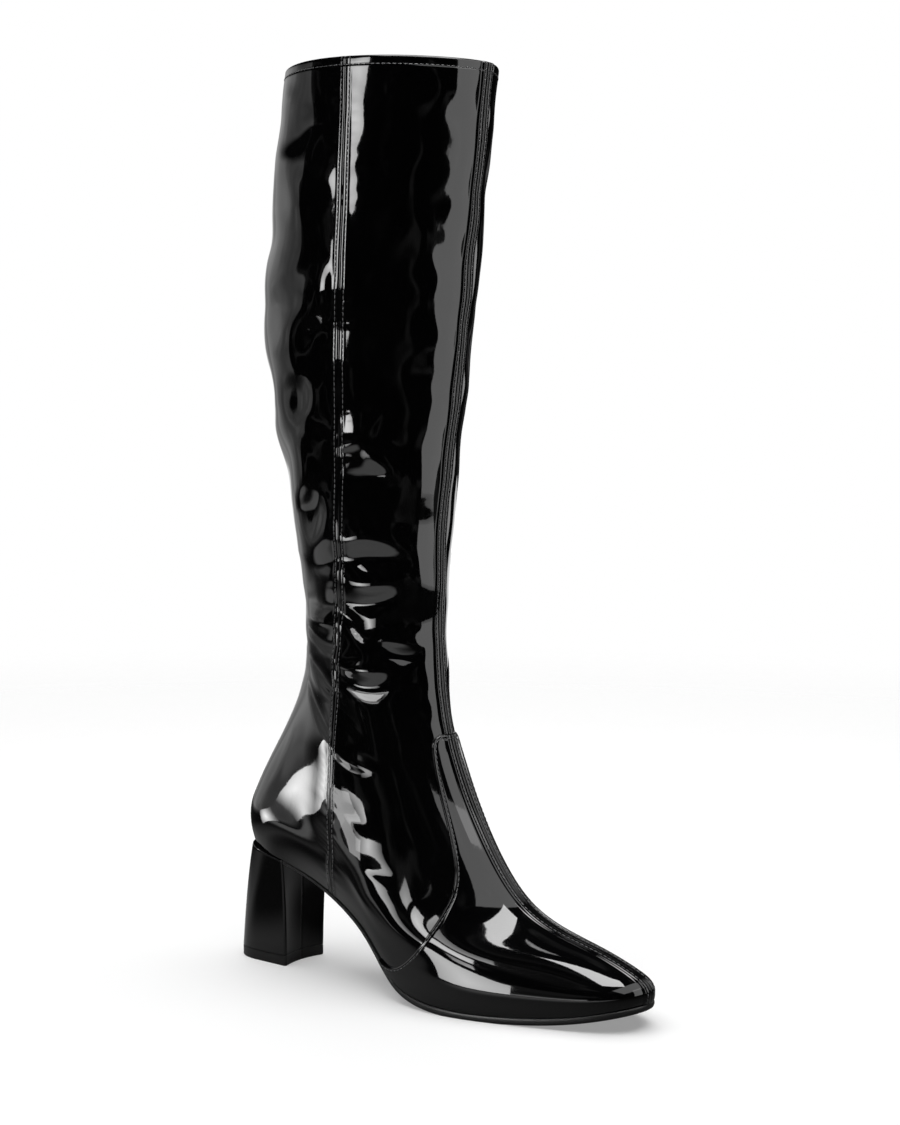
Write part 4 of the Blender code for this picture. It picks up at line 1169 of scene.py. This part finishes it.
def sole_under(x, share):
    """The underside: flat on the floor under the forefoot, with shallow bars cut across it."""
    bars = ease(0.5 + BAR_STEEP * np.sin(2 * np.pi * (x - TREAD_BOW * share**2) / TREAD_PITCH))
    within = above(x, TREAD_FROM, TREAD_END) * below(x, TREAD_TO, TREAD_END) * (abs(share) < TREAD_BORDER)
    return np.maximum(feather_z(x) - SEAT_GAP - sole_thick(x), 0.0) + TREAD_DEEP * bars * within


angles = np.linspace(0.0, np.pi, 2000)
back_turn = np.interp(-SOLE_BACK, -last_point(0.0, angles)[:, 0], angles)
angles = np.linspace(0.0, back_turn, SOLE_RUNGS)
stand_out = sole_stand_out(np.minimum(last_point(0.0, angles)[:, 0], SOLE_TIP))
sole_rings = across_rungs(
    angles,
    [(stand_out + out, part) for out, part in SOLE_EDGE],
    SOLE_COLUMNS,
    lambda x, share: feather_z(x) - SEAT_GAP,
    sole_under,
)
outsole = new_piece("sole_unit", rungs_mesh("sole_unit", sole_rings), rubber)
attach(outsole, "boot")
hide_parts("outsole")


# The heel. A moulded block wrapped in the same patent leather, folded round the front corners to a joint down
# the middle of the hollow breast, with a rolled rim under the upper and screwed on through the insole.
HeelRow = namedtuple("HeelRow", "back half breast hollow")
heel_row = spline_of({
    0.00: HeelRow(-20.8, 15.6, 18.7, 2.4),
    0.33: HeelRow(-18.6, 16.1, 18.8, 2.2),
    0.66: HeelRow(-15.6, 17.0, 19.0, 1.8),
    0.88: HeelRow(-12.8, 18.0, 19.2, 1.4),
    1.00: HeelRow(-10.9, 18.8, 19.4, 1.0),
})
HEEL_BACK_RADIUS = 19.0
HEEL_SQUARENESS = 2.5
HEEL_CORNER = 1.2
HEEL_LEVELS = 44
COVER_JOINT = 0.35
COVER_THICK = 0.35
HEEL_FOOT = 5.8
HEEL_RIM = 0.7


def heel_plan(share):
    """The heel's outline at a share of its height, run so that the solid's faces look outward."""
    row = HeelRow(*heel_row(share))
    flat = row.half - HEEL_CORNER
    y = np.concatenate([np.linspace(-flat, -0.8, 18), np.linspace(-0.6, 0.6, 9), np.linspace(0.8, flat, 18)])
    joint = COVER_THICK * hump(y, COVER_JOINT)
    breast = np.column_stack([row.breast - row.hollow * (1 - (y / flat) ** 2) - joint, y])
    bend = np.linspace(0, 0.5 * np.pi, 7)[1:]
    corner = np.column_stack(
        [row.breast - HEEL_CORNER * (1 - np.cos(bend)), flat + HEEL_CORNER * np.sin(bend)]
    )
    turn = np.linspace(0.5 * np.pi, -0.5 * np.pi, 61)
    depth = np.abs(np.cos(turn)) ** (2 / HEEL_SQUARENESS)
    side = np.sign(turn) * np.abs(np.sin(turn)) ** (2 / HEEL_SQUARENESS)
    back = np.column_stack([row.back + HEEL_BACK_RADIUS * (1 - depth), row.half * side])
    other = corner[::-1] * (1, -1)
    return np.concatenate([breast, corner, back, other])


def stacked_mesh(name, rings):
    """A solid from rings one above the other, closed at both ends by a fan round its middle."""
    count = len(rings[0])
    points = np.concatenate(list(rings) + [[rings[0].mean(axis=0)], [rings[-1].mean(axis=0)]])
    index = np.arange(len(rings) * count).reshape(-1, count)
    beside = np.roll(index, -1, axis=1)
    foot, crown = len(rings) * count, len(rings) * count + 1
    faces = ring_faces(index)
    faces += [(foot, beside[0, i], index[0, i]) for i in range(count)]
    faces += [(crown, index[-1, i], beside[-1, i]) for i in range(count)]
    return solid_mesh(name, points, faces)


def drawn_in(plan, inset):
    """An outline moved towards its middle."""
    inward = plan.mean(axis=0) - plan
    return plan + inward / np.linalg.norm(inward, axis=1, keepdims=True) * inset


rings = []
for share in np.linspace(0, 1, HEEL_LEVELS):
    plan = heel_plan(share)
    shoulder = feather_z(plan[:, 0]) - SEAT_GAP - HEEL_RIM
    rings.append(np.column_stack([plan, HEEL_FOOT + (shoulder - HEEL_FOOT) * share]))
for bend in np.linspace(0, np.pi / 2, 6)[1:]:
    rim = drawn_in(plan, HEEL_RIM * (1 - np.cos(bend)))
    rings.append(np.column_stack([rim, shoulder + HEEL_RIM * np.sin(bend)]))
heel = new_piece("heel_block", stacked_mesh("heel_block", rings), patent)
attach(heel, "boot")
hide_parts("heel")


# The top piece. A hard rubber wearing tip, cut to the heel's foot and pinned under it, with its lower edge
# broken.
TIP_LEVELS = {0.0: 0.5, 0.2: 0.2, 0.55: 0.0, 2.8: 0.0, 5.2: 0.0, 5.4: 0.08, 5.5: 0.25}
top_rings = []
for z, inset in TIP_LEVELS.items():
    plan = drawn_in(heel_plan(0.0), inset)
    top_rings.append(np.column_stack([plan, np.full(len(plan), z)]))
top_piece = new_piece("heel_tip", stacked_mesh("heel_tip", top_rings), rubber)
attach(top_piece, "boot")
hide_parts("heel_top_piece")
